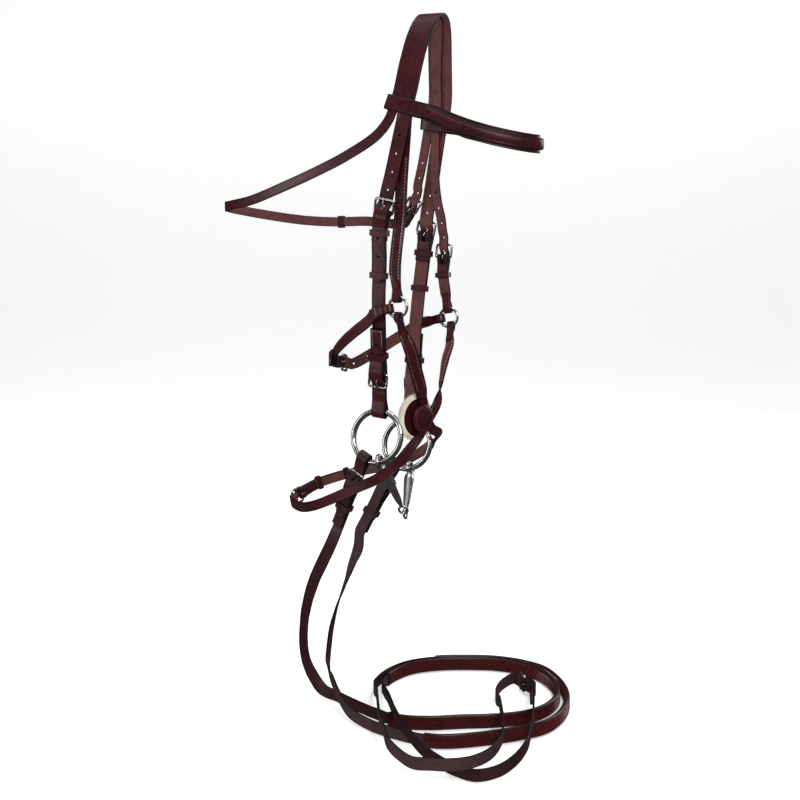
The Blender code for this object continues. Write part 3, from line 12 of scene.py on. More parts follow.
import bpy
import numpy as np
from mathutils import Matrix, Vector

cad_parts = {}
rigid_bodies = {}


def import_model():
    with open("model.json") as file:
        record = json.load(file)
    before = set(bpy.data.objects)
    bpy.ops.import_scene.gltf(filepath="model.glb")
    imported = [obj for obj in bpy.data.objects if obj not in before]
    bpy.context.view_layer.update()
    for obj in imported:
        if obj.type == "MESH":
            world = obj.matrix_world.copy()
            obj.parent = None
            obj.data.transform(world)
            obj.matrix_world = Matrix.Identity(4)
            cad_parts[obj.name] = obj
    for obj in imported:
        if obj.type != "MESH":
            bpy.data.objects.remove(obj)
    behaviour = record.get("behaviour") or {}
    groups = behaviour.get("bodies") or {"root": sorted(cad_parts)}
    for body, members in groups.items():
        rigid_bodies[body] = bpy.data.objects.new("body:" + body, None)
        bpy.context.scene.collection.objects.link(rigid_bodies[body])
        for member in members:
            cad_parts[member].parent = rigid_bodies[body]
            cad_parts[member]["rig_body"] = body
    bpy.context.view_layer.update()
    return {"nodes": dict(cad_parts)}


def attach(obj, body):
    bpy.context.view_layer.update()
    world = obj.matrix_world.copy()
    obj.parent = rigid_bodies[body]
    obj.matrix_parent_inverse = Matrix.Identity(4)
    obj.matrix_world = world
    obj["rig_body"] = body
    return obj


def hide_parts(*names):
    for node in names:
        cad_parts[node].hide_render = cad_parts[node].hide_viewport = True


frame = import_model()


def vec(x, y, z):
    return np.array([x, y, z], float)


def unit(vector):
    vector = np.asarray(vector, float)
    return vector / np.linalg.norm(vector)


# ---------------------------------------------------------------- stepping
LINE_TURN, LINE_STEP = 2.0, 1.6             # degrees and mm between points of a middle line
TURN, LONGEST, SHORT = 5.0, 5.0, 0.6        # degrees and mm between stations of a strap
STATION_SAG = 0.05                          # how far a station may stray from its curve
ROUND, HOLE_ROOM = 16, 1.6                  # sides of a hole, leather before and after it
ARC, WIRE, PINS, RINGS = 6, 16, 12, 112     # buckle corners, wire and tongue sides, ring steps

# ---------------------------------------------------------------- sizes
MM = 0.001
HIDE = 2.5          # one layer of strap leather
POLL = 3.0          # thicker leather of the headpiece
GAP = 0.4           # air between layers
LAYER = (HIDE + GAP) / 2      # middle of either layer of a folded strap
OVERLAY = 2.95      # billet above the strap it lies on
BAR = 1.6           # radius of buckle wire
PIN = 1.1           # radius of buckle tongues
# half widths
CHEEK, THROAT, REIN = 9.4, 6.3, 8.0
NOSE, HEAD_BILLET, NOSE_CHEEK_HALF = 8.0, 6.5, 7.5
FACE, JAW, CHIN = 8.4, 7.4, 6.7             # upper nose, jaw and lower nose straps
RING_HALF, NOSE_RING_HALF = 5.4, 4.1        # straps narrowed where they pass a noseband ring
CROWN_HALF, CHEEK_BRANCH, THROAT_BRANCH = 16.0, 9.25, 6.25
CHEEK_SHIFT = CROWN_HALF - CHEEK_BRANCH     # middle of each branch beside the crown's middle
THROAT_SHIFT = CROWN_HALF - THROAT_BRANCH
SLIT = 1.9          # half width of tongue slits and holes
BROW, FACING = 2.3, 3.4                     # thickness of the browband and its facing
FACING_LIFT = BROW / 2 + 0.45 + FACING / 2
GRIP = HIDE + 3.5   # thickness of the rubber grips
BAND_WALL, BAND_ROOM = 1.3, 0.55            # keeper leather, room beside the strap
BIT_R, BIT_W = 33.3, 3.7      # bit ring: centre line and wire
NOSE_R, NOSE_W = 12.5, 2.0    # noseband ring: centre line and wire
LOOP = NOSE_W + 1.3 + HIDE / 2              # strap middle from the noseband ring wire
LOOP_SAG = 5.6**2 / (2 * NOSE_R)
BIT_WRAP = 5.75     # strap middle from the bit ring wire
SET_OUT = 2.2       # buckle benches outside the bit ring plane
LINK = 6.8          # distance between the mouthpiece eyes
FLOOR = -900.0
LIFT = vec(0, 0, 4.0)         # the frame's zero is the underside of the leather at the poll

ACROSS, UP = vec(1, 0, 0), vec(0, 0, 1)
OFF_OUT, NEAR_OUT = vec(0, -1, 0), vec(0, 1, 0)
LEVEL = vec(0, 0.9676, -0.2524)   # through both bit ring centres; the near side hangs lower
LEVEL2 = unit(vec(0, 160, -24))   # through both noseband ring centres
OFF_BIT, NEAR_BIT = vec(-56, -46, -525), vec(-56, 46, -549)
OFF_RING, NEAR_RING = vec(-11, -80, -356), vec(-11, 80, -380)
BIT_JOINT = vec(-31, -14, -630)
CHEEK_AT, REIN_AT, ARM_AT = 90, 243, 284    # degrees round the bit rings

# edge of a strap: (distance in from the edge, drop of the grain face, rise of the flesh face)
RIMS = (
    (0.0, -0.80, 0.80), (0.22, -0.36, 0.36), (0.65, -0.04, 0.04), (1.2, 0.0, 0.0),
    (1.5, -0.22, 0.0), (1.72, -0.26, 0.0), (1.95, -0.02, 0.0),
)
RUBBER_RIMS = (
    (0.0, -2.0, 2.0), (0.35, -1.1, 1.1), (0.9, -0.4, 0.4), (1.6, 0.0, 0.0), (2.2, 0.0, 0.0),
)


# ---------------------------------------------------------------- geometry kit
def knots(rows, across=UP):
    """Knots (point, width direction) from rows of x, y, z and, if not `across`, a direction."""
    return [(vec(*row[:3]), vec(*row[3]) if len(row) > 3 else across) for row in rows]


class Bench:
    """A flat working frame: along the strap, out of its grain side, and wide across it."""

    def __init__(self, origin, along, out):
        self.origin = np.asarray(origin, float)
        self.along = unit(along)
        self.out = unit(np.asarray(out, float) - np.dot(out, self.along) * self.along)
        self.wide = np.cross(self.out, self.along)

    def at(self, along, out, wide=0.0):
        return self.origin + self.along * along + self.out * out + self.wide * wide

    def knots(self, pairs):
        return [(self.at(along, out), self.wide) for along, out in pairs]


def flow(line):
    """A smooth centripetal curve through knots: its points, width, face and running directions."""
    knot_points = np.array([k[0] for k in line], float)
    knot_wides = np.array([unit(k[1]) for k in line], float)
    first, last = 2 * knot_points[0] - knot_points[1], 2 * knot_points[-1] - knot_points[-2]
    padded = np.vstack([first, knot_points, last])
    points, wides = [], []
    for i in range(len(line) - 1):
        p0, p1, p2, p3 = padded[i : i + 4]
        wide1, wide2 = knot_wides[i : i + 2]
        t0 = 0.0
        t1 = t0 + max(np.linalg.norm(p1 - p0), 1e-6) ** 0.5
        t2 = t1 + max(np.linalg.norm(p2 - p1), 1e-6) ** 0.5
        t3 = t2 + max(np.linalg.norm(p3 - p2), 1e-6) ** 0.5
        chord = (p2 - p1) / (t2 - t1)
        leave = (t2 - t1) * ((p1 - p0) / (t1 - t0) - (p2 - p0) / (t2 - t0) + chord)
        arrive = (t2 - t1) * (chord - (p3 - p1) / (t3 - t1) + (p3 - p2) / (t3 - t2))

        def curve(u):
            return (
                (2 * u**3 - 3 * u**2 + 1) * p1
                + (u**3 - 2 * u**2 + u) * leave
                + (-2 * u**3 + 3 * u**2) * p2
                + (u**3 - u**2) * arrive
            )

        fine = np.array([curve(u) for u in np.linspace(0, 1, 17)])
        steps = np.diff(fine, axis=0)
        length = np.linalg.norm(steps, axis=1).sum()
        steps /= np.maximum(np.linalg.norm(steps, axis=1), 1e-9)[:, None]
        bend = np.degrees(np.arccos(np.clip((steps[1:] * steps[:-1]).sum(1), -1, 1))).sum()
        twist = np.degrees(np.arccos(np.clip(wide1 @ wide2, -1, 1)))
        count = max(1, math.ceil(bend / LINE_TURN), math.ceil(length / LINE_STEP),
                    math.ceil(twist / (LINE_TURN * 1.5)))
        for k in range(count):
            u = k / count
            ease = u * u * (3 - 2 * u)
            points.append(curve(u))
            wides.append(wide1 * (1 - ease) + wide2 * ease)
    points = np.array(points + [knot_points[-1]])
    wides = np.array(wides + [knot_wides[-1]])
    steps = np.diff(points, axis=0)
    steps /= np.maximum(np.linalg.norm(steps, axis=1), 1e-9)[:, None]
    along = np.vstack([steps[:1], steps[1:] + steps[:-1], steps[-1:]])
    along /= np.linalg.norm(along, axis=1)[:, None]
    wides = wides - (wides * along).sum(1)[:, None] * along
    wides /= np.linalg.norm(wides, axis=1)[:, None]
    return points, wides, np.cross(along, wides), along


class Guide:
    """The middle line of a strap, finely stepped. Places on it are distances from its start."""

    def __init__(self, line):
        level, last = [], None
        for point, wide in line:
            wide = np.asarray(wide, float)
            if last is not None and np.dot(wide, last) < 0:
                wide = -wide
            level.append((np.asarray(point, float), wide))
            last = wide
        self.points, self.wides, self.outs, self.alongs = flow(level)
        steps = np.linalg.norm(np.diff(self.points, axis=0), axis=1)
        self.places = np.concatenate([[0], np.cumsum(steps)])
        self.length = self.places[-1]

    def at(self, place):
        """Point, width direction, face direction and running direction."""
        point, wide, out, along = [
            np.array([np.interp(place, self.places, values[:, k]) for k in range(3)])
            for values in (self.points, self.wides, self.outs, self.alongs)]
        wide = unit(wide)
        return point, wide, unit(out - (out @ wide) * wide), unit(along)

    def lay(self, start, stop, off, step):
        """Knots that follow this line at a distance off its face."""
        count = max(1, math.ceil(abs(stop - start) / step))
        line = []
        for k in range(count + 1):
            point, wide, out, _ = self.at(start + (stop - start) * k / count)
            line.append((point + out * off, wide))
        return line

    def bench(self, place):
        point, _, out, along = self.at(place)
        return Bench(point, along, out)

    def find(self, target):
        """Distance along the line to its closest place to target."""
        best, where, run = 1e18, 0.0, 0.0
        for a, b in zip(self.points[:-1], self.points[1:]):
            step = b - a
            size = np.linalg.norm(step)
            u = 0.0 if size < 1e-9 else min(1.0, max(0.0, (target - a) @ step / size**2))
            miss = np.linalg.norm(a + u * step - target)
            if miss < best:
                best, where = miss, run + u * size
            run += size
        return where

    def stations(self, marks=(), gaps=()):
        """Places for cross sections: every mark, none inside a gap, closer where it bends."""
        firm = set(marks) | {0.0, self.length}
        places = set(firm)
        run, last = 0.0, 0.0
        for i in range(1, len(self.places)):
            bend, twist = (
                math.degrees(math.acos(min(1.0, max(-1.0, float(way[i] @ way[i - 1])))))
                for way in (self.alongs, self.wides))
            run += max(bend, twist * 0.7)
            gone = self.places[i] - last
            if run >= TURN or gone >= LONGEST or math.radians(run) * gone / 8 >= STATION_SAG:
                places.add(float(self.places[i]))
                run, last = 0.0, self.places[i]
        keep = sorted(places)
        for start, stop in gaps:
            keep = [u for u in keep if u <= start + 1e-6 or u >= stop - 1e-6]
        chosen = []
        for u in keep:
            if chosen and u - chosen[-1] < SHORT:
                if u in firm and chosen[-1] not in firm:
                    chosen[-1] = u
                elif u in firm and u - chosen[-1] > 0.05:
                    chosen.append(u)
                continue
            chosen.append(u)
        return chosen


def columns(half, inner=2.9, rims=RIMS, height=None):
    """Places across a strap: (sideways, drop of the grain face, rise of the flesh face).
    A height, even of zero, adds the columns of a raised middle."""
    scale = min(1.0, half / (5.3 if height is None else 7.0))
    side = [(half - inset * scale, top, low) for inset, top, low in rims]
    if height is None:
        side.append((inner * scale, 0.0, 0.0))
    else:
        side += [(half - inset * scale, share * height, 0.0)
                 for inset, share in ((2.9, 0.12), (3.4, 0.62), (4.0, 0.9))]
        side.append((min(inner * scale, half - 4.3 * scale), height, 0.0))
    return [(-v, top, low) for v, top, low in side] + side[::-1]


class Sheet:
    """Leather of one thickness: a net of points with face directions, closed round its rim."""

    def __init__(self, thick, rims=RIMS, lift=0.0):
        self.thick, self.rims, self.lift = thick, rims, lift
        self.middles, self.normals, self.uvs, self.rim, self.net = [], [], [], [], []

    def add(self, place, u, v, top, low, rim):
        """A point at a guide's place (u along, v across), grain dropped and flesh raised."""
        point, wide, out, _ = place
        self.middles.append(point + wide * v + out * (self.lift + (top + low) / 2))
        self.normals.append(out * (1 + (top - low) / self.thick))
        self.uvs.append((u, v))
        self.rim.append(rim)
        return len(self.middles) - 1

    def strip(self, guide, halves, holes=(), slot=None, crown=None, start=None, stations=None):
        """Lay a ribbon along a guide and return its stations.
        halves: (place, half width), negative places count from the far end.
        holes: (place, half length, half width). slot: (from, to).
        crown: (from, to, height) of a raised middle. start: a row of points to grow from."""
        self.guide = guide
        length = guide.length
        places = [min(max(u if u >= 0 else length + u, 0.0), length) for u, _ in halves]
        widths = [half for _, half in halves]
        marks = {float(u) for u in places}
        gaps = [(u - reach - HOLE_ROOM, u + reach + HOLE_ROOM) for u, reach, _ in holes]
        for gap in gaps:
            marks.update(gap)
        if slot:
            marks.update(slot)
            if slot[0] - 3.0 > 0:
                marks.add(slot[0] - 3.0)
            if slot[1] + 3.0 < length:
                marks.add(slot[1] + 3.0)
        if crown:
            marks.update((crown[0], crown[1]))
            marks.update((min(crown[0] + 5.0, length), max(crown[1] - 5.0, 0.0)))
        stations = stations or guide.stations(marks, gaps)
        rows = []
        if start is not None:
            stations = [u for u in stations if u > 1e-6]
            rows.append((0.0, list(start)))

        for u in stations:
            place = guide.at(u)
            half = float(np.interp(u, places, widths))
            inner, slit, height = 2.9, False, None
            if slot:
                if slot[0] - 3.2 <= u <= slot[1] + 3.2:
                    inner = SLIT
                slit = slot[0] - 1e-6 <= u <= slot[1] + 1e-6
            if crown:
                rise = min(1.0, max(0.0, (u - crown[0]) / 5.0))
                fall = min(1.0, max(0.0, (crown[1] - u) / 5.0))
                height = crown[2] * rise * fall
            from_start = u + (0.0 if start is None else 9.0)
            row = []
            for v, top, low in columns(half, inner, self.rims, height):
                cut = 0.3 if slit and abs(abs(v) - inner) < 0.01 else 9.0
                rim = min(half - abs(v), cut, from_start, length - u)
                row.append(self.add(place, u, v, top, low, rim))
            rows.append((u, row))

        count = len(rows[-1][1])
        middle = count // 2 - 1
        for (u0, a), (u1, b) in zip(rows[:-1], rows[1:]):
            cut = [hole for hole, gap in zip(holes, gaps)
                   if abs(gap[0] - u0) < 0.7 and abs(gap[1] - u1) < 0.7]
            slit = slot and slot[0] - 1e-6 <= u0 and u1 <= slot[1] + 1e-6
            for k in range(count - 1):
                if k != middle or not (cut or slit):
                    self.net.append((a[k], b[k], b[k + 1], a[k + 1]))
            if cut:
                corners = [a[middle], b[middle], b[middle + 1], a[middle + 1]]
                self.punch(guide, cut[0], corners)
        return stations

    def punch(self, guide, hole, corners):
        """Fill the cell between four corners round a hole."""
        centre, reach, half = hole
        loop = []
        for i in range(ROUND):
            angle = -0.75 * math.pi + 2 * math.pi * i / ROUND
            du, dv = half * math.cos(angle), half * math.sin(angle)
            if reach > half:
                du += (reach - half) * (1 if du > 1e-9 else -1)
            loop.append(self.add(guide.at(centre + du), centre + du, dv, -0.12, 0.1, 0.25))
        quarter = ROUND // 4
        eighth = quarter // 2
        for s in range(4):
            arc = [loop[(s * quarter + j) % ROUND] for j in range(quarter + 1)]
            here, beyond = corners[s], corners[(s + 1) % 4]
            self.net += [(here, arc[j + 1], arc[j]) for j in range(eighth)]
            self.net.append((here, beyond, arc[eighth]))
            self.net += [(beyond, arc[j + 1], arc[j]) for j in range(eighth, quarter)]

    def solid(self):
        """The closed mesh and its (uv, rim, flesh) values."""
        count = len(self.middles)
        middles, offsets = np.array(self.middles), np.array(self.normals) * self.thick / 2
        verts = np.vstack([middles + offsets, middles - offsets])
        faces, edges = [], {}
        for f in self.net:
            for i in range(len(f)):
                edges[(f[i], f[(i + 1) % len(f)])] = 1
            faces.append(tuple(f))
            faces.append(tuple(i + count for i in reversed(f)))
        for a, b in edges:
            if (b, a) not in edges:
                faces.append((b, a, a + count, b + count))
        uvs = np.array(self.uvs * 2, float)
        rim = np.array(self.rim * 2, float)
        flesh = np.concatenate([np.zeros(count), np.ones(count)])
        return (verts, faces), (uvs, rim, flesh)


def tube(points, radius, sides, closed=False, hint=None):
    """A round bar swept along points; closed runs it back to its start."""
    points = np.array(points, float)
    count = len(points)
    radii = np.full(count, radius, float) if np.isscalar(radius) else radius
    ways = np.zeros_like(points)
    for i in range(count):
        a = points[(i - 1) % count] if closed or i > 0 else points[i]
        b = points[(i + 1) % count] if closed or i < count - 1 else points[i]
        if closed or 0 < i < count - 1:
            ways[i] = unit(unit(points[i] - a) + unit(b - points[i]))
        else:
            ways[i] = unit(b - a)
    if hint is None:
        hint = UP if abs(ways[0][2]) < 0.8 else ACROSS
    verts, faces = [], []
    x = hint
    for i in range(count):
        x = unit(x - (x @ ways[i]) * ways[i])
        y = np.cross(ways[i], x)
        for k in range(sides):
            angle = 2 * math.pi * (k + 0.5) / sides
            verts.append(points[i] + radii[i] * (x * math.cos(angle) + y * math.sin(angle)))
    for i in range(count if closed else count - 1):
        j = (i + 1) % count
        for k in range(sides):
            m = (k + 1) % sides
            faces.append((i * sides + k, i * sides + m, j * sides + m, j * sides + k))
    if not closed:
        faces.append(tuple(reversed(range(sides))))
        faces.append(tuple((count - 1) * sides + k for k in range(sides)))
    return np.array(verts), faces


def torus(centre, axis, radius, wire, around, sides):
    axis = unit(axis)
    x = unit(np.cross(axis, UP))
    y = np.cross(axis, x)
    angles = [2 * math.pi * k / around for k in range(around)]
    points = [centre + radius * (math.cos(t) * x + math.sin(t) * y) for t in angles]
    return tube(points, wire, sides, True, axis)


def rounded(corners, radius):
    """Points round a closed outline with its corners rounded."""
    points = []
    for i, corner in enumerate(corners):
        start = corner + unit(corners[i - 1] - corner) * radius
        stop = corner + unit(corners[(i + 1) % len(corners)] - corner) * radius
        for k in range(ARC + 1):
            t = k / ARC
            points.append((1 - t) ** 2 * start + 2 * t * (1 - t) * corner + t * t * stop)
    return points


def band(bench, start, stop, half, low, high):
    """A flat leather loop on a bench round a strap of half width half, inside from low to high."""
    half += BAND_ROOM
    verts, faces = [], []
    for s in (start, stop):
        for wall in (BAND_WALL, 0.0):
            bottom, top, side = low - wall, high + wall, half + wall
            for wide, out in ((-side, bottom), (side, bottom), (side, top), (-side, top)):
                verts.append(bench.at(s, out, wide))
    for k in range(4):
        j = (k + 1) % 4
        faces.append((8 + k, 8 + j, j, k))
        faces.append((4 + k, 4 + j, 12 + j, 12 + k))
        faces.append((k, j, 4 + j, 4 + k))
        faces.append((8 + j, 8 + k, 12 + k, 12 + j))
    return np.array(verts), faces


def lathe(centre, axis, profile, around):
    """A turned body: profile of (distance along the axis, radius), its ends on the axis."""
    axis = unit(axis)
    x = unit(np.cross(UP, axis))
    y = np.cross(axis, x)
    rings = profile[1:-1]
    verts, faces = [centre + axis * profile[0][0]], []
    for along, radius in rings:
        for k in range(around):
            t = 2 * math.pi * k / around
            verts.append(centre + axis * along + radius * (math.cos(t) * x + math.sin(t) * y))
    verts.append(centre + axis * profile[-1][0])
    tip, last = len(verts) - 1, 1 + (len(rings) - 1) * around
    for k in range(around):
        m = (k + 1) % around
        faces.append((0, 1 + m, 1 + k))
        for i in range(len(rings) - 1):
            a, b = 1 + i * around, 1 + (i + 1) * around
            faces.append((a + k, a + m, b + m, b + k))
        faces.append((last + k, last + m, tip))
    return np.array(verts), faces


def outward(verts, faces):
    """Turn the faces over if the body is inside out."""
    volume = 0.0
    for f in faces:
        for i in range(1, len(f) - 1):
            volume += float(np.dot(verts[f[0]], np.cross(verts[f[i]], verts[f[i + 1]])))
    return faces if volume > 0 else [tuple(reversed(f)) for f in faces]


# ---------------------------------------------------------------- materials
class Nodes:
    """Short hand for building the node tree of a material or world."""

    def __init__(self, owner):
        self.owner = owner
        owner.use_nodes = True
        self.tree = owner.node_tree

    def feed(self, socket, value):
        """Link a socket, or set a plain value."""
        if isinstance(value, bpy.types.NodeSocket):
            self.tree.links.new(value, socket)
        else:
            socket.default_value = (*value[:3], 1.0) if socket.type == "RGBA" else value

    def fill(self, node, inputs):
        for key, value in inputs.items():
            if value is not None:
                self.feed(node.inputs[key], value)
        return node

    def add(self, kind, inputs=None, **properties):
        node = self.tree.nodes.new(kind)
        for key, value in properties.items():
            setattr(node, key, value)
        return self.fill(node, inputs or {})

    def surface(self, inputs):
        self.fill(self.tree.nodes["Principled BSDF"], inputs)

    def noise(self, place, scale, detail=3.0, rough=0.55, distort=0.0):
        inputs = {"Vector": place, "Scale": scale, "Detail": detail, "Roughness": rough,
                  "Distortion": distort}
        return self.add("ShaderNodeTexNoise", inputs).outputs["Fac"]

    def math(self, operation, a, b):
        return self.add("ShaderNodeMath", {0: a, 1: b}, operation=operation).outputs[0]

    def weigh(self, a, share_a, b, share_b):
        """Sum of two values, each times its share."""
        return self.math("ADD", self.math("MULTIPLY", a, share_a),
                         self.math("MULTIPLY", b, share_b))

    def ramp(self, value, span, to=(0.0, 1.0)):
        """Smooth step over a span of values."""
        inputs = {"Value": value, "From Min": span[0], "From Max": span[1],
                  "To Min": to[0], "To Max": to[1]}
        node = self.add("ShaderNodeMapRange", inputs, interpolation_type="SMOOTHSTEP")
        return node.outputs["Result"]

    def mix(self, factor, a, b):
        """Mix of two colours."""
        return self.add("ShaderNodeMix", {0: factor, 6: a, 7: b}, data_type="RGBA").outputs[2]

    def blend(self, factor, a, b):
        """Mix of two numbers."""
        return self.add("ShaderNodeMix", {0: factor, 2: a, 3: b}, data_type="FLOAT").outputs[0]

    def bump(self, height, strength, distance, after=None):
        inputs = {"Strength": strength, "Distance": distance, "Height": height, "Normal": after}
        return self.add("ShaderNodeBump", inputs).outputs["Normal"]

    def attribute(self, name):
        return self.add("ShaderNodeAttribute", attribute_name=name).outputs["Fac"]

    def object_place(self):
        return self.add("ShaderNodeTexCoord").outputs["Object"]

    def strap_place(self, along, across):
        """The strap's own coordinates, scaled along and across it."""
        uv = self.add("ShaderNodeTexCoord").outputs["UV"]
        inputs = {"Scale": (along, across, 1.0), "Vector": uv}
        return self.add("ShaderNodeMapping", inputs).outputs["Vector"]


def leather(name, dark, warm, flesh_dark, flesh_light, gloss=0.34):
    """Waxed bridle leather: inked edges, a creased line, fine pores and a plainer flesh side."""
    k = Nodes(bpy.data.materials.new(name))
    place = k.object_place()
    rim, flesh = k.attribute("rim"), k.attribute("flesh")
    cloud = k.noise(place, scale=26.0, detail=4.0, rough=0.6)
    mottle = k.noise(place, scale=240.0, rough=0.6)
    streak = k.noise(k.strap_place(along=60.0, across=520.0), scale=1.0, rough=0.6)
    tone = k.ramp(k.weigh(cloud, 0.55, mottle, 0.45), span=(0.36, 0.64))
    grain = k.mix(tone, dark, warm)
    # the crease lies this many millimetres in from the edge
    crease = k.math("MULTIPLY", k.ramp(rim, span=(1.15, 1.5)), k.ramp(rim, span=(2.1, 1.75)))
    grain = k.mix(k.math("MULTIPLY", crease, 0.8), grain, (0.010, 0.005, 0.006))
    fuzz = k.ramp(k.weigh(streak, 0.6, mottle, 0.4), span=(0.33, 0.67))
    back = k.mix(fuzz, flesh_dark, flesh_light)
    body = k.mix(k.ramp(flesh, span=(0.4, 0.6)), grain, back)
    ink = k.ramp(rim, span=(0.35, 1.0), to=(1.0, 0.0))
    shine = k.ramp(mottle, span=(0.3, 0.7), to=(gloss - 0.05, gloss + 0.09))
    rough = k.blend(k.ramp(flesh, span=(0.4, 0.6)), shine, 0.62)
    k.surface({
        "Base Color": k.mix(ink, body, (0.010, 0.004, 0.007)),
        "Roughness": k.blend(ink, rough, 0.55),
        "Specular IOR Level": k.blend(ink, 0.30, 0.12),
        "Coat Weight": 0.12,
        "Coat Roughness": 0.16,
    })
    cells = k.add("ShaderNodeTexVoronoi", {"Vector": place, "Scale": 1500.0})
    fine = k.noise(place, scale=2600.0, detail=2.0)
    pores = k.bump(k.weigh(cells.outputs["Distance"], 0.6, fine, 0.5),
                   strength=0.22, distance=0.0004)
    waves = k.noise(place, scale=160.0)
    k.surface({"Normal": k.bump(waves, strength=0.16, distance=0.0012, after=pores)})
    return k.owner


def steel(name):
    k = Nodes(bpy.data.materials.new(name))
    place = k.object_place()
    haze = k.noise(place, scale=90.0, detail=4.0, rough=0.65)
    fine = k.noise(place, scale=2200.0, detail=2.0)
    tone = k.ramp(haze, span=(0.3, 0.75))
    shine = k.ramp(haze, span=(0.3, 0.75), to=(0.13, 0.22))
    waves = k.noise(place, scale=60.0, detail=2.0)
    k.surface({
        "Base Color": k.mix(tone, (0.52, 0.50, 0.50), (0.70, 0.68, 0.67)),
        "Metallic": 1.0,
        "Roughness": k.math("ADD", shine, k.math("MULTIPLY", fine, 0.05)),
        "Normal": k.bump(waves, strength=0.03, distance=0.0008),
    })
    return k.owner


def rubber(name, dark, light, rough=(0.26, 0.40)):
    k = Nodes(bpy.data.materials.new(name))
    place = k.object_place()
    cloud = k.ramp(k.noise(place, scale=60.0, detail=2.0), span=(0.1, 0.9))
    grit = k.noise(place, scale=900.0, detail=2.0)
    fine = k.noise(place, scale=3200.0, detail=2.0)
    k.surface({
        "Base Color": k.mix(cloud, dark, light),
        "Roughness": k.ramp(grit, span=(0.3, 0.7), to=rough),
        "Specular IOR Level": 0.42,
        "Normal": k.bump(fine, strength=0.18, distance=0.0003),
    })
    return k.owner


def fleece(name):
    k = Nodes(bpy.data.materials.new(name))
    place = k.object_place()
    curl = k.noise(place, scale=300.0, detail=5.0, rough=0.7, distort=0.8)
    fibre = k.noise(place, scale=900.0, detail=4.0, rough=0.7)
    tone = k.ramp(curl, span=(0.35, 0.7))
    k.surface({
        "Base Color": k.mix(tone, (0.86, 0.77, 0.60), (0.98, 0.93, 0.80)),
        "Roughness": 0.95,
        "Sheen Weight": 0.6,
        "Sheen Roughness": 0.5,
        "Normal": k.bump(fibre, strength=0.9, distance=0.0016),
    })
    return k.owner


def thread(name, dark, light):
    k = Nodes(bpy.data.materials.new(name))
    place = k.object_place()
    tone = k.ramp(k.noise(place, scale=500.0), span=(0.3, 0.7))
    strand = k.noise(place, scale=5200.0, detail=2.0)
    k.surface({
        "Base Color": k.mix(tone, dark, light),
        "Roughness": 0.7,
        "Normal": k.bump(strand, strength=0.5, distance=0.0003),
    })
    return k.owner


LOOK = {
    "leather": leather(
        "bridle_leather", dark=(0.024, 0.0014, 0.0030), warm=(0.056, 0.0042, 0.0068),
        flesh_dark=(0.074, 0.0200, 0.0185), flesh_light=(0.132, 0.042, 0.038)),
    "rein": leather(
        "rein_leather", dark=(0.026, 0.0050, 0.0068), warm=(0.046, 0.0095, 0.0115),
        flesh_dark=(0.034, 0.0150, 0.0160), flesh_light=(0.062, 0.0270, 0.0280), gloss=0.40),
    "steel": steel("polished_steel"),
    "rubber": rubber("grip_rubber", dark=(0.020, 0.0016, 0.0022), light=(0.036, 0.0032, 0.0040)),
    # the grip cells are the grip's own rubber painted about three times lighter: a painted
    # highlight standing in for the glints on the raised hexagons
    "cells": rubber("grip_cells_painted_highlight", dark=(0.066, 0.0068, 0.0080), light=(0.105, 0.0130, 0.0140),
                    rough=(0.20, 0.32)),
    "fleece": fleece("pad_fleece"),
    "pale": thread("pale_thread", dark=(0.46, 0.28, 0.24), light=(0.66, 0.47, 0.42)),
    "brown": thread("brown_thread", dark=(0.105, 0.030, 0.026), light=(0.19, 0.070, 0.058)),
    "black": thread("black_thread", dark=(0.003, 0.002, 0.003), light=(0.008, 0.005, 0.006)),
}

# ---------------------------------------------------------------- objects
GUIDES, GRIP_ENDS, FACING_ENDS = {}, {}, []      # lines and places the trimmings follow


def link(ob):
    bpy.context.scene.collection.objects.link(ob)
    return ob


def solid(name, verts, faces, attrs=None, sharp=42.0):
    """A smooth object in metres; attrs are (uv, rim, flesh), sharp the angle of hard edges."""
    mesh = bpy.data.meshes.new(name)
    points = (np.asarray(verts, float) + LIFT) * MM
    mesh.from_pydata(points.tolist(), [], [tuple(int(i) for i in f) for f in faces])
    if attrs is not None:
        uvs, rim, flesh = attrs
        for key, values in (("rim", rim), ("flesh", flesh)):
            attribute = mesh.attributes.new(key, "FLOAT", "POINT")
            attribute.data.foreach_set("value", np.asarray(values, np.float32))
        layer = mesh.uv_layers.new(name="UVMap")
        index = np.zeros(len(mesh.loops), np.int32)
        mesh.loops.foreach_get("vertex_index", index)
        layer.data.foreach_set("uv", (np.asarray(uvs, np.float32)[index] * MM).ravel())
    mesh.update()
    mesh.shade_smooth()
    mesh.set_sharp_from_angle(angle=math.radians(sharp))
    return link(bpy.data.objects.new(name, mesh))


def dress(ob, look, node):
    """Give an object its material, slot and the body it rides on."""
    ob.data.materials.append(LOOK[look])
    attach(ob, frame["nodes"][node]["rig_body"])


def plain(count):
    """Attributes of leather that is all grain, far from any edge."""
    return np.zeros((count, 2)), np.full(count, 9.0), np.zeros(count)


def soften(ob):
    bevel = ob.modifiers.new("soft", "BEVEL")
    bevel.width = 0.45 * MM
    bevel.segments = 3
    bevel.limit_method = "ANGLE"
    bevel.angle_limit = math.radians(50)


def add_part(node, mesh, look, attrs=None):
    """An object that takes the place of a node of the frame."""
    verts, faces = mesh
    if look == "leather" and attrs is None:
        attrs = plain(len(verts))
    ob = solid(node + "_look", verts, outward(verts, faces), attrs)
    if node.endswith(("_keeper", "_runner")):
        soften(ob)
    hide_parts(node)
    dress(ob, look, node)


def add_extra(name, verts, faces, look, node, attrs=None, sharp=42.0):
    """A further object that belongs to a node of the frame."""
    ob = solid(name, verts, faces, attrs, sharp)
    dress(ob, look, node)
    return ob


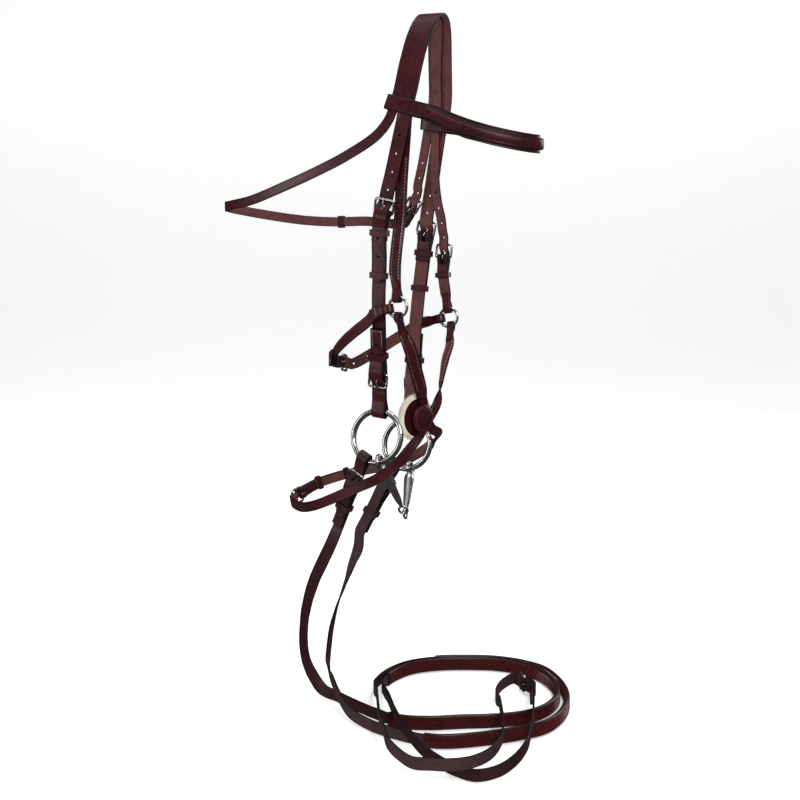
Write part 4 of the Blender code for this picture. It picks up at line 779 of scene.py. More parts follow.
def add_sheet(node, sheet, look="leather", grain=None):
    """A leather part; both its faces look like grain between the places of `grain`."""
    mesh, (uvs, rim, flesh) = sheet.solid()
    if grain:
        flesh = np.where((uvs[:, 0] > grain[0]) & (uvs[:, 0] < grain[1]), 0.0, flesh)
    GUIDES[node] = sheet.guide
    add_part(node, mesh, look, (uvs, rim, flesh))


def strap(node, guide, halves, look="leather", grain=None, **layout):
    sheet = Sheet(HIDE)
    stations = sheet.strip(guide, halves, **layout)
    add_sheet(node, sheet, look, grain)
    return stations


def pointed(half, tip):
    """Half widths of a strap whose far end is cut to a blunt point."""
    return [(-tip, half), (-0.36 * tip, 0.74 * half), (-0.001, 0.3 * half)]


# ---------------------------------------------------------------- buckles and wraps
# On a buckle's bench the origin is the middle of the heel bar and `along` follows the billet.
# Tables are (along, out).
RISE = [(-27, -0.3), (-17, -0.1), (-13, 0.4), (-4, 7.0), (1, 8.6), (6, 8.3), (12, 6.3),
        (18, 4.65)]                                     # billet over the buckle
FOLD = [(9, -LAYER), (4.4, -2.5), (0, -3.45), (-2.7, -2.3), (-3.6, 0), (-2.7, 2.3), (0, 3.45),
        (4.4, 2.5), (9, LAYER)]                         # strap round the heel bar
BEHIND = [(60, -4.6), (34, -4.6), (21, -4.7), (11, -5.9), (1, -6.6), (-9, -5.9),
          (-20, -4.6)]                                  # cheekpiece behind a sewn-on buckle
REIN_BEHIND = [(-20, -4.6), (-9, -5.9), (1, -6.6), (11, -5.9), (22, -4.7), (38, -4.6),
               (54, -4.6), (68, -4.6)]                  # rein behind its buckle


def buckle(name, bench, half):
    side = half + 3.0
    corners = [bench.at(0, 0, -side), bench.at(-17, 3.25, -side),
               bench.at(-17, 3.25, side), bench.at(0, 0, side)]
    outline = rounded(corners, 3.4)
    add_part(name + "_frame", tube(outline, BAR, WIRE, True, bench.out), "steel")
    turns = [math.radians(angle) for angle in range(-60, 211, 30)]
    line = [bench.at(3.2 * math.sin(angle), -3.2 * math.cos(angle)) for angle in turns]
    line += [bench.at(*spot) for spot in ((-3.5, 3.9), (-11, 5.35), (-17.6, 6.6), (-19.2, 6.75))]
    radii = [PIN] * (len(line) - 1) + [0.6 * PIN]
    add_part(name + "_tongue", tube(line, radii, PINS, False, bench.wide), "steel")


def chape_knots(bench, guide, back):
    """Turned-back layer and fold round the heel bar; the main layer follows."""
    return guide.lay(back, 1.5, -2 * LAYER, 11.0) + bench.knots(FOLD[:-1])


def fold_slot(guide, bench):
    """Slit for the tongue, from one end of the fold to the other."""
    return tuple(sorted(guide.find(bench.at(9, out)) for out in (-LAYER, LAYER)))


def tongue_holes(guide, bench, count=0, pitch=0.0, radius=0.0):
    """The hole in use and `count` round holes before it."""
    place = guide.find(bench.at(-7.9, 4.4))
    return [(place, 3.8, SLIT)] + [(place + k * pitch, radius, radius) for k in range(-count, 0)]


def ring_turn(bench, far):
    """Strap round a noseband ring wire at the bench origin, outer layer first."""
    half = [(1.9 * LOOP, 1.8), (0.85 * LOOP, 0.8 * LOOP), (-0.15 * LOOP, 1.06 * LOOP),
            (-0.8 * LOOP - 0.6 * LOOP_SAG, 0.74 * LOOP)]
    line = [(far, LAYER)] + half + [(-(LOOP + LOOP_SAG) * 1.04, 0.0)]
    return bench.knots(line + [(s, -out) for s, out in reversed(half)] + [(far, -LAYER)])


def bit_turn(bench, reach):
    """Strap from behind a buckle, round the bit ring `reach` before it and back outside."""
    ring, out = -reach, -SET_OUT
    half = [(14, 2.4), (4.8, 0.86 * BIT_WRAP), (-1.5, 1.06 * BIT_WRAP), (-6.2, 0.8 * BIT_WRAP)]
    line = [(ring + along, out - off) for along, off in half] + [(ring - 8.6, out)]
    line += [(ring + along, out + off) for along, off in reversed(half)]
    if reach > 45:
        line.append((-26, 0.0))
    return bench.knots(line)


def ring_point(centre, level, radius, degrees):
    """A place round a ring whose axis is `level`, counted upwards from forward."""
    angle = math.radians(degrees)
    upward = np.cross(ACROSS, level)
    return centre + radius * (math.cos(angle) * ACROSS + math.sin(angle) * upward)


def bit_point(centre, degrees):
    return ring_point(centre, LEVEL, BIT_R, degrees)


def nose_ring_bench(centre, degrees, along, near):
    origin = ring_point(centre, LEVEL2, NOSE_R, degrees)
    return Bench(origin, along, LEVEL2 if near else -LEVEL2)


def cheek_low_bench(centre, reach, along, side_out):
    along = unit(along)
    out = unit(side_out - (side_out @ along) * along)
    return Bench(bit_point(centre, CHEEK_AT) + along * reach + out * SET_OUT, along, out)


def rein_bench(centre, side_out, lean):
    start = bit_point(centre, REIN_AT)
    radial = unit(start - centre)
    lean = math.radians(lean)
    along = radial * math.cos(lean) + LEVEL * math.sin(lean)
    out = unit(side_out - (side_out @ along) * along)
    tangent = np.cross(radial, LEVEL)
    out = unit(out - (out @ tangent) * tangent)
    return Bench(start + along * REIN_REACH + out * SET_OUT, along, out)


# ---------------------------------------------------------------- benches and main lines
OFF_REACH, NEAR_REACH, REIN_REACH = 52, 56, 37      # buckle bars from the bit ring
OFF_TOP = Bench(vec(-36, -67.5, -242), vec(-0.2, 0, -0.98), OFF_OUT)
NEAR_TOP = Bench(vec(-40, 67.5, -271), vec(-0.12, 0.02, -0.99), NEAR_OUT)
OFF_LOW = cheek_low_bench(OFF_BIT, OFF_REACH, vec(0.1, -0.24, 0.96), OFF_OUT)
NEAR_LOW = cheek_low_bench(NEAR_BIT, NEAR_REACH, vec(0.05, 0.05, 0.99), NEAR_OUT)
THROAT_BENCH = Bench(vec(-58.5, 57.5, -240), vec(-0.45, -0.05, -0.89), NEAR_OUT)
NOSE_BENCH = Bench(vec(-18, 77.5, -301), vec(-0.03, 0.0, -1), NEAR_OUT)
JAW_BENCH = Bench(vec(-134.5, 9, -438), vec(-0.1, -0.97, 0.2), vec(-1, 0, -0.1))
CHIN_BENCH = Bench(vec(-198, 11, -622), vec(0.1, 0.97, 0.2), vec(-1, 0, -0.15))
OFF_REIN = rein_bench(OFF_BIT, OFF_OUT, lean=20)
NEAR_REIN = rein_bench(NEAR_BIT, NEAR_OUT, lean=9)
END_BENCH = Bench(vec(87, 124, -886.8), vec(0.8, -0.6, 0), vec(0.6, 0.8, 0))
NEAR_NOSE_TOP = nose_ring_bench(NEAR_RING, 100, vec(-0.17, -0.03, 0.98), near=True)

# the flat headpiece over the poll, from the near side to the off side
CROWN = Guide(knots([
    (-25, 62.5, -141), (-19, 60.5, -120), (-14, 56, -97), (-9, 43.5, -57), (-4.5, 31, -24),
    (-1, 17.5, -6), (0, 5.5, 0.5), (0, -5.5, 0.5), (-1, -17.5, -6), (-4.5, -31, -25),
    (-9, -43, -57), (-13, -55, -97), (-17, -60, -118)], ACROSS))

OFF_CHEEK_LINE = (OFF_TOP.knots([(9, LAYER), (22, LAYER)])
                  + knots([(-41, -67.5, -300), (-43.5, -66, -345)], ACROSS)
                  + OFF_LOW.knots(BEHIND))
NEAR_CHEEK_LINE = (NEAR_TOP.knots([(9, LAYER), (22, LAYER)])
                   + knots([(-46, 65.5, -330)], ACROSS)
                   + NEAR_LOW.knots(BEHIND))
OFF_CHEEK, NEAR_CHEEK = Guide(OFF_CHEEK_LINE), Guide(NEAR_CHEEK_LINE)

THROAT_LINE = THROAT_BENCH.knots([(9, LAYER), (15, 1.3)]) + knots([
    (-77, 57.5, -256.5, (0.45, 0, -0.89)), (-94, 56.5, -256, (0.1, 0, -0.99)),
    (-118, 54.5, -253.5), (-164, 50.5, -254.5), (-209, 45.5, -252.5), (-251, 36.5, -247),
    (-287, 18, -240)])
THROATLASH = Guide(THROAT_LINE)

NOSE_CHEEK_LINE = (NOSE_BENCH.knots([(9, LAYER), (22, LAYER)])
                   + knots([(-17.5, 78.3, -332)], ACROSS))
NOSE_CHEEK = Guide(NOSE_CHEEK_LINE + ring_turn(NEAR_NOSE_TOP, 14)[:1])

JAW_LINE = JAW_BENCH.knots([(9, LAYER), (17, 1.0)]) + knots([
    (-128, -26, -425), (-115, -40, -415), (-96, -55, -402), (-74, -67.5, -388),
    (-53, -76, -374.5)])
JAW_GUIDE = Guide(JAW_LINE)

CHIN_LINE = CHIN_BENCH.knots([(9, LAYER), (17, 1.2)]) + knots([
    (-192, 36.5, -614.5), (-178, 52, -608.5), (-157, 64, -601.5), (-132, 69.5, -595),
    (-106, 70, -588.5), (-78, 67.5, -579.5), (-52, 62, -567, (0.25, 0, 0.95)),
    (-33, 59, -554, (0.45, 0, 0.85)), (-17, 54.5, -541.5, (0.6, 0.1, 0.75)),
    (-8.2, 40.5, -529.5, (0.55, 0.3, 0.75))])
CHIN_GUIDE = Guide(CHIN_LINE)

END_KNOTS = END_BENCH.knots([(9, LAYER), (17, LAYER)])
END_GUIDE = Guide(END_KNOTS + knots([(116, 68, -884), (131, 36, -872.3)]))

# each rein from the bit down to the floor, round in two coils to the centre buckle
REIN_TURN = (0.25, 0.97, 0)
OFF_REIN_LINE = OFF_REIN.knots(REIN_BEHIND) + knots([
    (-126, -43, -675, (0.9, 0.1, -0.37)), (-139, -43, -701, (0.82, 0.4, -0.3)),
    (-153, -40, -728, (0.7, 0.65, -0.2)), (-166, -36, -763, (0.45, 0.88, -0.1)),
    (-173, -32, -793, REIN_TURN), (-176, -28, -822, REIN_TURN),
    (-173, -26, -845, (0.2, 0.9, 0.25)), (-164, -24, -865, (0.1, 0.62, 0.75)),
    (-151, -20, -884, (0, 0.2, 0.98)), (-130, -20, -890), (-98, -36, -890.4), (-58, -54, -890.4),
    (-14, -67, -890.4), (23, -56, -890.4), (57, -35, -890.4), (100, -10, -890.4),
    (131, 20, -890.4), (145, 60, -890.4), (141, 104, -890.4), (121, 145, -890.4),
    (90, 177, -890.4), (54, 193, -890.4), (18, 194, -890.4), (-20, 181, -890.4),
    (-58, 160, -890.4), (-86, 130, -890.4), (-98, 92, -891.5), (-94, 49, -890), (-72, 8, -883),
    (-44, -38, -873), (-6, -96, -870.6), (21, -130, -871), (45, -150, -877), (64, -156, -887),
    (84, -163, -891.6), (110, -177, -891.9), (138, -182, -891.6), (160, -166, -888),
    (172, -143, -881), (176, -118, -873), (166, -74, -870.5), (152, -25, -870.5),
    (141, 8, -870.5), (131, 36, -872.3), (116, 68, -884)])
NEAR_REIN_LINE = NEAR_REIN.knots(REIN_BEHIND) + knots([
    (-124, 34.5, -695, (0.9, -0.1, -0.37)), (-136, 41, -718, (0.75, -0.5, -0.3)),
    (-149, 41, -753, (0.45, -0.85, -0.2)), (-160, 40, -783, (0.25, -0.95, -0.1)),
    (-168, 38, -815, (0.1, -1, 0)), (-171, 35, -845, (0.1, -0.97, 0.15)),
    (-168, 26, -861, (0.05, -0.7, 0.6)), (-156, 7, -868.5, (0, -0.3, 0.95)),
    (-136, -20, -869.5), (-112, -49, -876), (-82, -76, -886), (-46, -91, -891.5),
    (-6, -104, -891.5), (33, -110, -891), (62, -106, -890.4), (101, -79, -890.4),
    (138, -41, -890.4), (161, -8, -890.4), (168, 34, -890.4), (161, 84, -890.4),
    (143, 128, -890.4), (117, 166, -890.4), (90, 192, -890.4), (56, 204, -890.4),
    (14, 204, -890.4), (-26, 190, -890.4), (-66, 168, -890.4), (-95, 136, -890.4),
    (-108, 94, -891.2), (-104, 47, -890), (-84, 2, -880), (-64, -32, -871.4),
    (-46, -66, -870.2), (-21, -112, -870.6), (3, -149, -870.8), (23, -178, -874),
    (42, -189, -880), (64, -200, -882), (91, -208, -876), (116, -208, -872.5),
    (135, -196, -871), (146, -172, -870.5), (148, -145, -870), (141, -106, -870),
    (126, -63, -870), (106, -18, -870.3), (95, 6, -871.5), (80, 36, -881), (62, 82, -888.5),
    (59, 108, -887.5)])

# the rosette: centre, axis, sideways direction, and two directions in its plane
DISC = vec(-12, 0, -505)
DISC_ANGLE = math.radians(20)
DISC_N = vec(math.cos(DISC_ANGLE), -math.sin(DISC_ANGLE), 0)
DISC_H = vec(math.sin(DISC_ANGLE), math.cos(DISC_ANGLE), 0)
DISC_X = unit(np.cross(UP, DISC_N))
DISC_Y = np.cross(DISC_N, DISC_X)


# ---------------------------------------------------------------- headpiece and cheeks
def headpiece():
    """The crown, both cheek billets, the throatlash and its billet, in one piece."""
    sheet = Sheet(POLL)
    throat = [(v - THROAT_SHIFT, top, low) for v, top, low in columns(THROAT_BRANCH)]
    cheek = [(v + CHEEK_SHIFT, top, low) for v, top, low in columns(CHEEK_BRANCH)]
    count, rows = len(throat), []
    for u in CROWN.stations():
        place = CROWN.at(u)
        row = []
        for k, (v, top, low) in enumerate(throat + cheek):
            if count // 2 <= k < count + count // 2:     # no edges where the branches join
                row.append(sheet.add(place, u, v, 0, 0, 9.0))
            else:
                row.append(sheet.add(place, u, v, top, low, CROWN_HALF - abs(v)))
        rows.append(row)
    for a, b in zip(rows[:-1], rows[1:]):
        for k in range(2 * count - 1):
            sheet.net.append((a[k], b[k], b[k + 1], a[k + 1]))
    near, off = rows[0], rows[-1]

    point, wide, _, _ = CROWN.at(CROWN.length)
    rows = [(-13.5, -63.5, -140), (-19, -66, -168), (-25.5, -67.6, -198)]
    guide = Guide([(point + wide * CHEEK_SHIFT, wide)] + knots(rows, ACROSS)
                  + OFF_TOP.knots(RISE) + OFF_CHEEK.lay(16, 77, OVERLAY, 16))
    holes = tongue_holes(guide, OFF_TOP, count=4, pitch=22.5, radius=1.5)
    holes += [(guide.find(OFF_CHEEK.at(u)[0]), 1.5, 1.5) for u in (22.0, 44.5)]
    sheet.strip(guide, [(0, CHEEK)] + pointed(CHEEK, 13), holes, start=off[count:])

    # the throatlash runs back from the off side, round the throat, up to its near side buckle
    rows = [(-31.5, -61.5, -129, (1, 0, -0.35)), (-47, -62.5, -147, (0.75, 0, -0.65)),
            (-91, -61, -172, (0.4, 0, -0.92)), (-137, -56.5, -191), (-191, -48, -210),
            (-245, -34, -226), (-288, -16, -232.5), (-304, 0, -234.5)]
    guide = Guide([(point - wide * THROAT_SHIFT, wide)] + knots(rows) + THROAT_LINE[::-1]
                  + chape_knots(THROAT_BENCH, THROATLASH, 24)[::-1])
    slot = fold_slot(guide, THROAT_BENCH)
    sheet.strip(guide, [(0, THROAT)], slot=slot, start=off[:count])

    point, wide, _, _ = CROWN.at(0)
    rows = [(-24, 65, -170), (-30, 66.5, -205)]
    guide = Guide([(point + wide * CHEEK_SHIFT, -wide)] + knots(rows, ACROSS)
                  + NEAR_TOP.knots(RISE) + NEAR_CHEEK.lay(16, 74, OVERLAY, 16))
    holes = tongue_holes(guide, NEAR_TOP, count=3, pitch=22.5, radius=1.5)
    holes += [(guide.find(NEAR_CHEEK.at(u)[0]), 2.1, 2.1) for u in (28.0, 50.5)]
    sheet.strip(guide, [(0, CHEEK)] + pointed(CHEEK, 13), holes, start=near[count:][::-1])

    rows = [(-40, 63, -168), (-44, 61.5, -190), (-47.5, 60, -208)]
    guide = Guide([(point - wide * THROAT_SHIFT, -wide)] + knots(rows, ACROSS)
                  + THROAT_BENCH.knots(RISE) + THROATLASH.lay(14, 106, OVERLAY, 12))
    holes = tongue_holes(guide, THROAT_BENCH, count=3, pitch=20.0, radius=1.4)
    sheet.strip(guide, [(0, THROAT)] + pointed(THROAT, 9), holes, start=near[:count][::-1])
    add_sheet("headpiece", sheet)


def sewn_chape(name, bench, half, reaches, look):
    """Short strap folded round a heel bar; reaches are its knots from the end inwards."""
    guide = Guide(bench.knots([(reach, -LAYER) for reach in reaches] + FOLD
                              + [(reach, LAYER) for reach in reversed(reaches)]))
    strap(name, guide, [(0, half)], look, slot=fold_slot(guide, bench))


def cheekpiece(side, top, line, top_guide, low, reach, bit):
    guide = Guide(chape_knots(top, top_guide, 26) + line + bit_turn(low, reach)
                  + low.knots(RISE + [(24, 4.4), (31, 4.4), (40, 4.4)]))
    turned = guide.find(bit_point(bit, CHEEK_AT))
    strap(side + "_cheekpiece", guide, [(0, CHEEK)] + pointed(CHEEK, 10),
          grain=(turned - 10, math.inf), holes=tongue_holes(guide, low),
          slot=fold_slot(guide, top))
    sewn_chape(side + "_lower_chape", low, CHEEK, (60, 40, 24), "leather")


def browband():
    """Browband looped round the headpiece at both ends, with a raised facing."""
    loop = [(44, -4.4), (34, -3.6), (26, -5.6), (16, -6.8), (-12, -6.8), (-18.8, -5.1),
            (-21, -1.6), (-19.1, 2.6), (-12, 3.9), (8, 4.6), (20, 3.9), (32, 1.8)]
    point, _, out, _ = CROWN.at(CROWN.find(vec(-16, -58, -112)))
    off = Bench(point, vec(0.966, 0, -0.26), out)
    point, _, out, _ = CROWN.at(CROWN.find(vec(-21, 61, -129)))
    near = Bench(point, vec(0.985, -0.05, -0.16), out)
    front = knots([
        (56, -52, -137), (88, -43.5, -147.5), (118, -29, -155), (136, -13, -158.5),
        (140, 0, -159), (135, 14, -158.5), (113, 32, -155), (82, 47, -149.5), (50, 56, -143)])
    guide = Guide(off.knots(loop) + front + near.knots(loop)[::-1])
    start, stop = guide.find(off.at(20, 2.7)), guide.find(near.at(20, 2.7))
    widening = [(0, 9), (12, 9.6), (18, 10.4), (24, 11.2), (34, 11.2)]
    halves = [(0, 9)] + [(start + inset, half) for inset, half in widening]
    halves += [(stop - inset, half) for inset, half in reversed(widening)] + [(guide.length, 9)]
    sheet = Sheet(BROW)
    stations = sheet.strip(guide, halves)
    add_sheet("browband", sheet)

    FACING_ENDS.extend((start + 12, stop - 12))
    sheet = Sheet(FACING, lift=FACING_LIFT)
    sheet.strip(guide, [(0, 7.2)], crown=(*FACING_ENDS, 0.9),
                stations=[u for u in stations if start + 11.9 < u < stop - 11.9])
    add_sheet("browband_raised_facing", sheet)


# ---------------------------------------------------------------- noseband
def under_crown(place, shift):
    """A knot beneath the headpiece; unshifted ones lie straight across the poll."""
    point, wide, out, _ = CROWN.at(place)
    point = point - out * 3.35 + wide * shift
    return (vec(0, point[1], point[2]), ACROSS) if shift == 0 else (point, wide)


def noseband_headstrap():
    """From the off noseband ring over the poll to the near buckle."""
    ring = nose_ring_bench(OFF_RING, 96, vec(-0.08, 0.03, 0.99), near=False)
    line = [(ring.at(30, -LAYER), ring.wide)] + ring_turn(ring, 20)[::-1]
    line += knots([(-15.5, -78, -312), (-15.5, -73.5, -285), (-15.5, -66.2, -259),
                   (-15.5, -62.3, -238), (-14, -61.2, -200), (-11.5, -59.8, -160)], ACROSS)
    top = CROWN.find(vec(0, 0, 0.5))
    off_side = ((137, 7.0), (112, 6.0), (84, 4.5), (56, 3.0), (31, 1.5), (14, 0))
    line += [under_crown(top + distance, shift) for distance, shift in off_side]
    line += knots([(0, -5.5, -2.75), (0, 5.5, -2.75)], ACROSS)
    near_side = ((14, 0), (31, -1.5), (56, -3.5), (84, -4.5), (112, -3.5), (138, -1.0),
                 (156, 1.0))
    line += [under_crown(top - distance, shift) for distance, shift in near_side]
    line += knots([(-23, 61, -170), (-23.5, 61.7, -200), (-20.3, 62.6, -228), (-17, 66.5, -248),
                   (-17, 72.5, -266)], ACROSS)
    line += NOSE_BENCH.knots(RISE) + NOSE_CHEEK.lay(16, 52, OVERLAY, 12)
    guide = Guide(line)
    poll = guide.find(vec(0, 0, -2.75))
    halves = [(0, RING_HALF), (guide.find(ring.at(9, 1.7)), RING_HALF),
              (guide.find(ring.at(30, LAYER)), NOSE), (poll + 60, NOSE),
              (poll + 130, HEAD_BILLET)] + pointed(HEAD_BILLET, 9)
    crown = (guide.find(ring.at(12, LAYER)) + 2, guide.find(vec(-13, -60.5, -172)), 0.8)
    strap("noseband_headstrap", guide, halves, crown=crown,
          holes=tongue_holes(guide, NOSE_BENCH, count=4, pitch=20.5, radius=1.3))


def ringed_strap(node, guide_knots, buckle_bench, ring, half, far, reach):
    """Strap from its buckle to a noseband ring, doubled back to `reach` past the ring."""
    guide = Guide(guide_knots + ring_turn(ring, far) + [(ring.at(reach, -LAYER), ring.wide)])
    narrow = guide.find(ring.at(9, 1.7))
    full = guide.find(ring.at(19 if far == 14 else 18, LAYER))
    halves = [(0, half), (full, half), (narrow, RING_HALF), (guide.length, RING_HALF)]
    strap(node, guide, halves, slot=fold_slot(guide, buckle_bench))


def noseband_near_cheek():
    line = chape_knots(NOSE_BENCH, NOSE_CHEEK, 18) + NOSE_CHEEK_LINE
    ringed_strap("noseband_near_cheek", line, NOSE_BENCH, NEAR_NOSE_TOP, NOSE_CHEEK_HALF,
                 far=14, reach=20)


def jaw_straps():
    ring = nose_ring_bench(OFF_RING, 192, vec(-0.965, 0.05, -0.26), near=False)
    line = chape_knots(JAW_BENCH, JAW_GUIDE, 22) + JAW_LINE
    ringed_strap("jaw_strap_buckle_side", line, JAW_BENCH, ring, JAW, far=18, reach=28)

    ring = nose_ring_bench(NEAR_RING, 190, vec(-0.96, -0.16, -0.22), near=True)
    line = [(ring.at(30, -LAYER), ring.wide)] + ring_turn(ring, 18)[::-1]
    line += knots([(-50, 73.5, -389.5), (-76, 64, -407), (-104, 47, -427)])
    guide = Guide(line + JAW_BENCH.knots(RISE) + JAW_GUIDE.lay(14, 40, 3.05, 9))
    halves = [(0, RING_HALF), (guide.find(ring.at(9, 1.7)), RING_HALF),
              (guide.find(ring.at(18, LAYER)), JAW)] + pointed(JAW, 9)
    strap("jaw_strap_billet", guide, halves,
          holes=tongue_holes(guide, JAW_BENCH, count=3, pitch=22.0, radius=1.4))


def on_disc(side, height, out, across):
    """A knot beside the rosette centre: sideways, up and along its axis."""
    return DISC + DISC_H * side + UP * height + DISC_N * out, vec(*across)


def nose_halves(guide, ring, reach, half, middle):
    """Half widths from the ring, widening to the upper strap, narrowing behind the rosette."""
    widening = guide.find(ring.at(reach, LAYER))
    return [(0, NOSE_RING_HALF), (guide.find(ring.at(9, 1.7)), NOSE_RING_HALF),
            (widening, half), (widening + 24, FACE), (middle - 20, FACE), (middle + 20, CHIN)]


def nose_straps():
    """Two straps crossing behind the rosette, each round under the chin on the other side."""
    ring = nose_ring_bench(OFF_RING, 279, vec(0.0, 0.6, -0.8), near=False)
    ring = Bench(ring.origin, vec(0.0, 0.6, -0.8), -LEVEL2)
    middle = on_disc(12, 3, -7.7, (0.25, 0.7, 0.6))
    line = [(ring.at(26, -LAYER), ring.wide)] + ring_turn(ring, 16)[::-1]
    line += knots([(-10, -58, -396, (0.96, 0.2, 0.1)), (-10.7, -42, -413, (0.9, 0.42, 0.1)),
                   (-12.6, -22, -440, (0.85, 0.5, 0.1)), (-14, -3.5, -466, (0.6, 0.8, 0.1))])
    line += [on_disc(7, 22, -7.7, (0.3, 0.9, 0.25)), middle,
             on_disc(24, -17, -7.2, (0.4, 0.45, 0.8))]
    line += CHIN_LINE[::-1] + chape_knots(CHIN_BENCH, CHIN_GUIDE, 21)[::-1]
    guide = Guide(line)
    halves = nose_halves(guide, ring, 24, 6.3, guide.find(middle[0])) + [(guide.length, CHIN)]
    crown = (guide.find(ring.at(12, LAYER)) + 4, guide.find(vec(-14, -3.5, -466)) + 6, 0.9)
    strap("nose_strap_off_to_near", guide, halves, slot=fold_slot(guide, CHIN_BENCH),
          crown=crown)

    ring = nose_ring_bench(NEAR_RING, 290, vec(0.12, -0.58, -0.8), near=True)
    middle = on_disc(15, -2, -3.5, (0.25, 0.7, -0.6))
    line = [(ring.at(24, -LAYER), ring.wide)] + ring_turn(ring, 14)[::-1]
    line += knots([(-1, 60, -415, (0.92, -0.34, 0.12)), (-1, 47.5, -431, (0.82, -0.52, 0.14)),
                   (-2.5, 36.8, -459, (0.62, -0.7, 0.2))])
    line += [on_disc(30, 17, -3.45, (0.2, 0.8, -0.5)), middle,
             on_disc(-3, -24, -3.5, (0.3, 0.75, -0.6))]
    line += knots([(-19, -25, -540.5, (0.45, 0.45, -0.75)),
                   (-28, -54.5, -560.5, (0.35, 0.1, -0.93)), (-46, -68.5, -575.5),
                   (-76, -71, -590), (-112, -68, -607.5), (-142, -56, -620.5),
                   (-168, -40, -628.5), (-188, -24, -630.5)])
    guide = Guide(line + CHIN_BENCH.knots(RISE) + CHIN_GUIDE.lay(14, 76, OVERLAY, 9))
    halves = nose_halves(guide, ring, 22, 6.0, guide.find(middle[0])) + pointed(CHIN, 9)
    crown = (guide.find(ring.at(12, LAYER)) + 4, guide.find(vec(-2.5, 36.5, -459)) + 4, 0.9)
    strap("nose_strap_near_to_off", guide, halves, crown=crown,
          holes=tongue_holes(guide, CHIN_BENCH, count=2, pitch=22.0, radius=1.3))


# ---------------------------------------------------------------- reins
def rein(side, bench, bit, line, end, grip_start, grip_stop):
    """A rein with its rubber grip and the short strap that carries its bit buckle."""
    rise = bench.knots(RISE + [(24, 4.4), (34, 4.4), (44, 4.4), (54, 4.4)])
    guide = Guide(rise[::-1] + bit_turn(bench, REIN_REACH)[::-1] + line + end)
    holes, slot = tongue_holes(guide, bench), None
    if side == "off":
        end_halves, slot = [(guide.length, REIN)], fold_slot(guide, END_BENCH)
    else:
        end_halves = pointed(REIN, 10)
        holes += tongue_holes(guide, END_BENCH)
    start, stop = guide.find(grip_start), guide.find(grip_stop)
    halves = [(0, 0.3 * REIN), (4, 0.74 * REIN), (11, REIN)]
    halves += [(guide.find(bench.at(along, -5.5)), REIN)
               for along in (-20, -9, -3, 1, 5, 11, 22, 68)]
    halves += [(start, REIN), (stop, REIN)] + end_halves
    turned = guide.find(bit_point(bit, REIN_AT))
    stations = strap(side + "_rein", guide, halves, "rein", grain=(-math.inf, turned + 10),
                     holes=holes, slot=slot)
    grip = Sheet(GRIP, RUBBER_RIMS)
    grip.strip(guide, [(0, REIN + 1.55)],
               stations=[u for u in stations if start - 1e-3 <= u <= stop + 1e-3])
    add_sheet(side + "_rein_grip", grip, "rubber")
    GRIP_ENDS[side] = (start, stop)
    sewn_chape(side + "_rein_chape", bench, REIN, (66, 44, 24), "rein")


def reins():
    off_end = END_KNOTS[::-1] + chape_knots(END_BENCH, END_GUIDE, 24)[::-1]
    rein("off", OFF_REIN, OFF_BIT, OFF_REIN_LINE, off_end,
         grip_start=vec(-30, -62, -890.4), grip_stop=vec(-97, 72, -890.8))
    near_end = END_BENCH.knots(RISE) + END_GUIDE.lay(14, 30, OVERLAY, 8)
    rein("near", NEAR_REIN, NEAR_BIT, NEAR_REIN_LINE, near_end,
         grip_start=vec(40, -110, -891), grip_stop=vec(-66, 168, -890.4))


# ---------------------------------------------------------------- steel, rosette and keepers
def rings():
    for side, bit in (("off", OFF_BIT), ("near", NEAR_BIT)):
        add_part(side + "_bit_ring", torus(bit, LEVEL, BIT_R, BIT_W, RINGS, 20), "steel")
    for side, centre in (("off", OFF_RING), ("near", NEAR_RING)):
        add_part(side + "_noseband_ring",
                 torus(centre, LEVEL2, NOSE_R, NOSE_W, RINGS - 8, WIRE), "steel")


def nose_rosette():
    profile = [(-1.5, 0), (-1.5, 16.8), (-0.7, 17.6), (0.9, 17.6), (2.0, 16.4), (2.8, 10),
               (3.1, 0)]
    add_part("nose_rosette", lathe(DISC, DISC_N, profile, 32), "leather")


BUCKLES = (
    ("off_cheek_top_buckle", OFF_TOP, CHEEK),
    ("near_cheek_top_buckle", NEAR_TOP, CHEEK),
    ("off_cheek_lower_buckle", OFF_LOW, CHEEK),
    ("near_cheek_lower_buckle", NEAR_LOW, CHEEK),
    ("throatlash_buckle", THROAT_BENCH, THROAT),
    ("noseband_buckle", NOSE_BENCH, NOSE_CHEEK_HALF),
    ("jaw_buckle", JAW_BENCH, JAW),
    ("chin_buckle", CHIN_BENCH, CHIN),
    ("off_rein_buckle", OFF_REIN, REIN),
    ("near_rein_buckle", NEAR_REIN, REIN),
    ("rein_centre_buckle", END_BENCH, REIN),
)
# name, line, place on it, half width of the strap, inside from, inside to, length
KEEPERS = (
    ("off_cheek_keeper", OFF_CHEEK, 15.5, CHEEK, -4.7, 4.9, 7.6),
    ("off_cheek_runner", OFF_CHEEK, 68, CHEEK, -1.6, 4.6, 7.6),
    ("near_cheek_keeper", NEAR_CHEEK, 15.5, CHEEK, -4.7, 4.9, 7.6),
    ("near_cheek_runner", NEAR_CHEEK, 62, CHEEK, -1.6, 4.6, 7.6),
    ("throatlash_runner", THROATLASH, 98, THROAT, -1.65, 4.65, 7.6),
    ("noseband_keeper", NOSE_CHEEK, 14, NOSE_CHEEK_HALF, -4.55, 4.6, 6.5),
    ("jaw_keeper", JAW_GUIDE, 15, JAW, -4.7, 4.75, 7.6),
    ("chin_keeper", CHIN_GUIDE, 27, CHIN + 0.2, -2.0, 5.1, 7.0),
    ("chin_runner", CHIN_GUIDE, 67, CHIN + 0.2, -1.9, 4.95, 7.0),
)


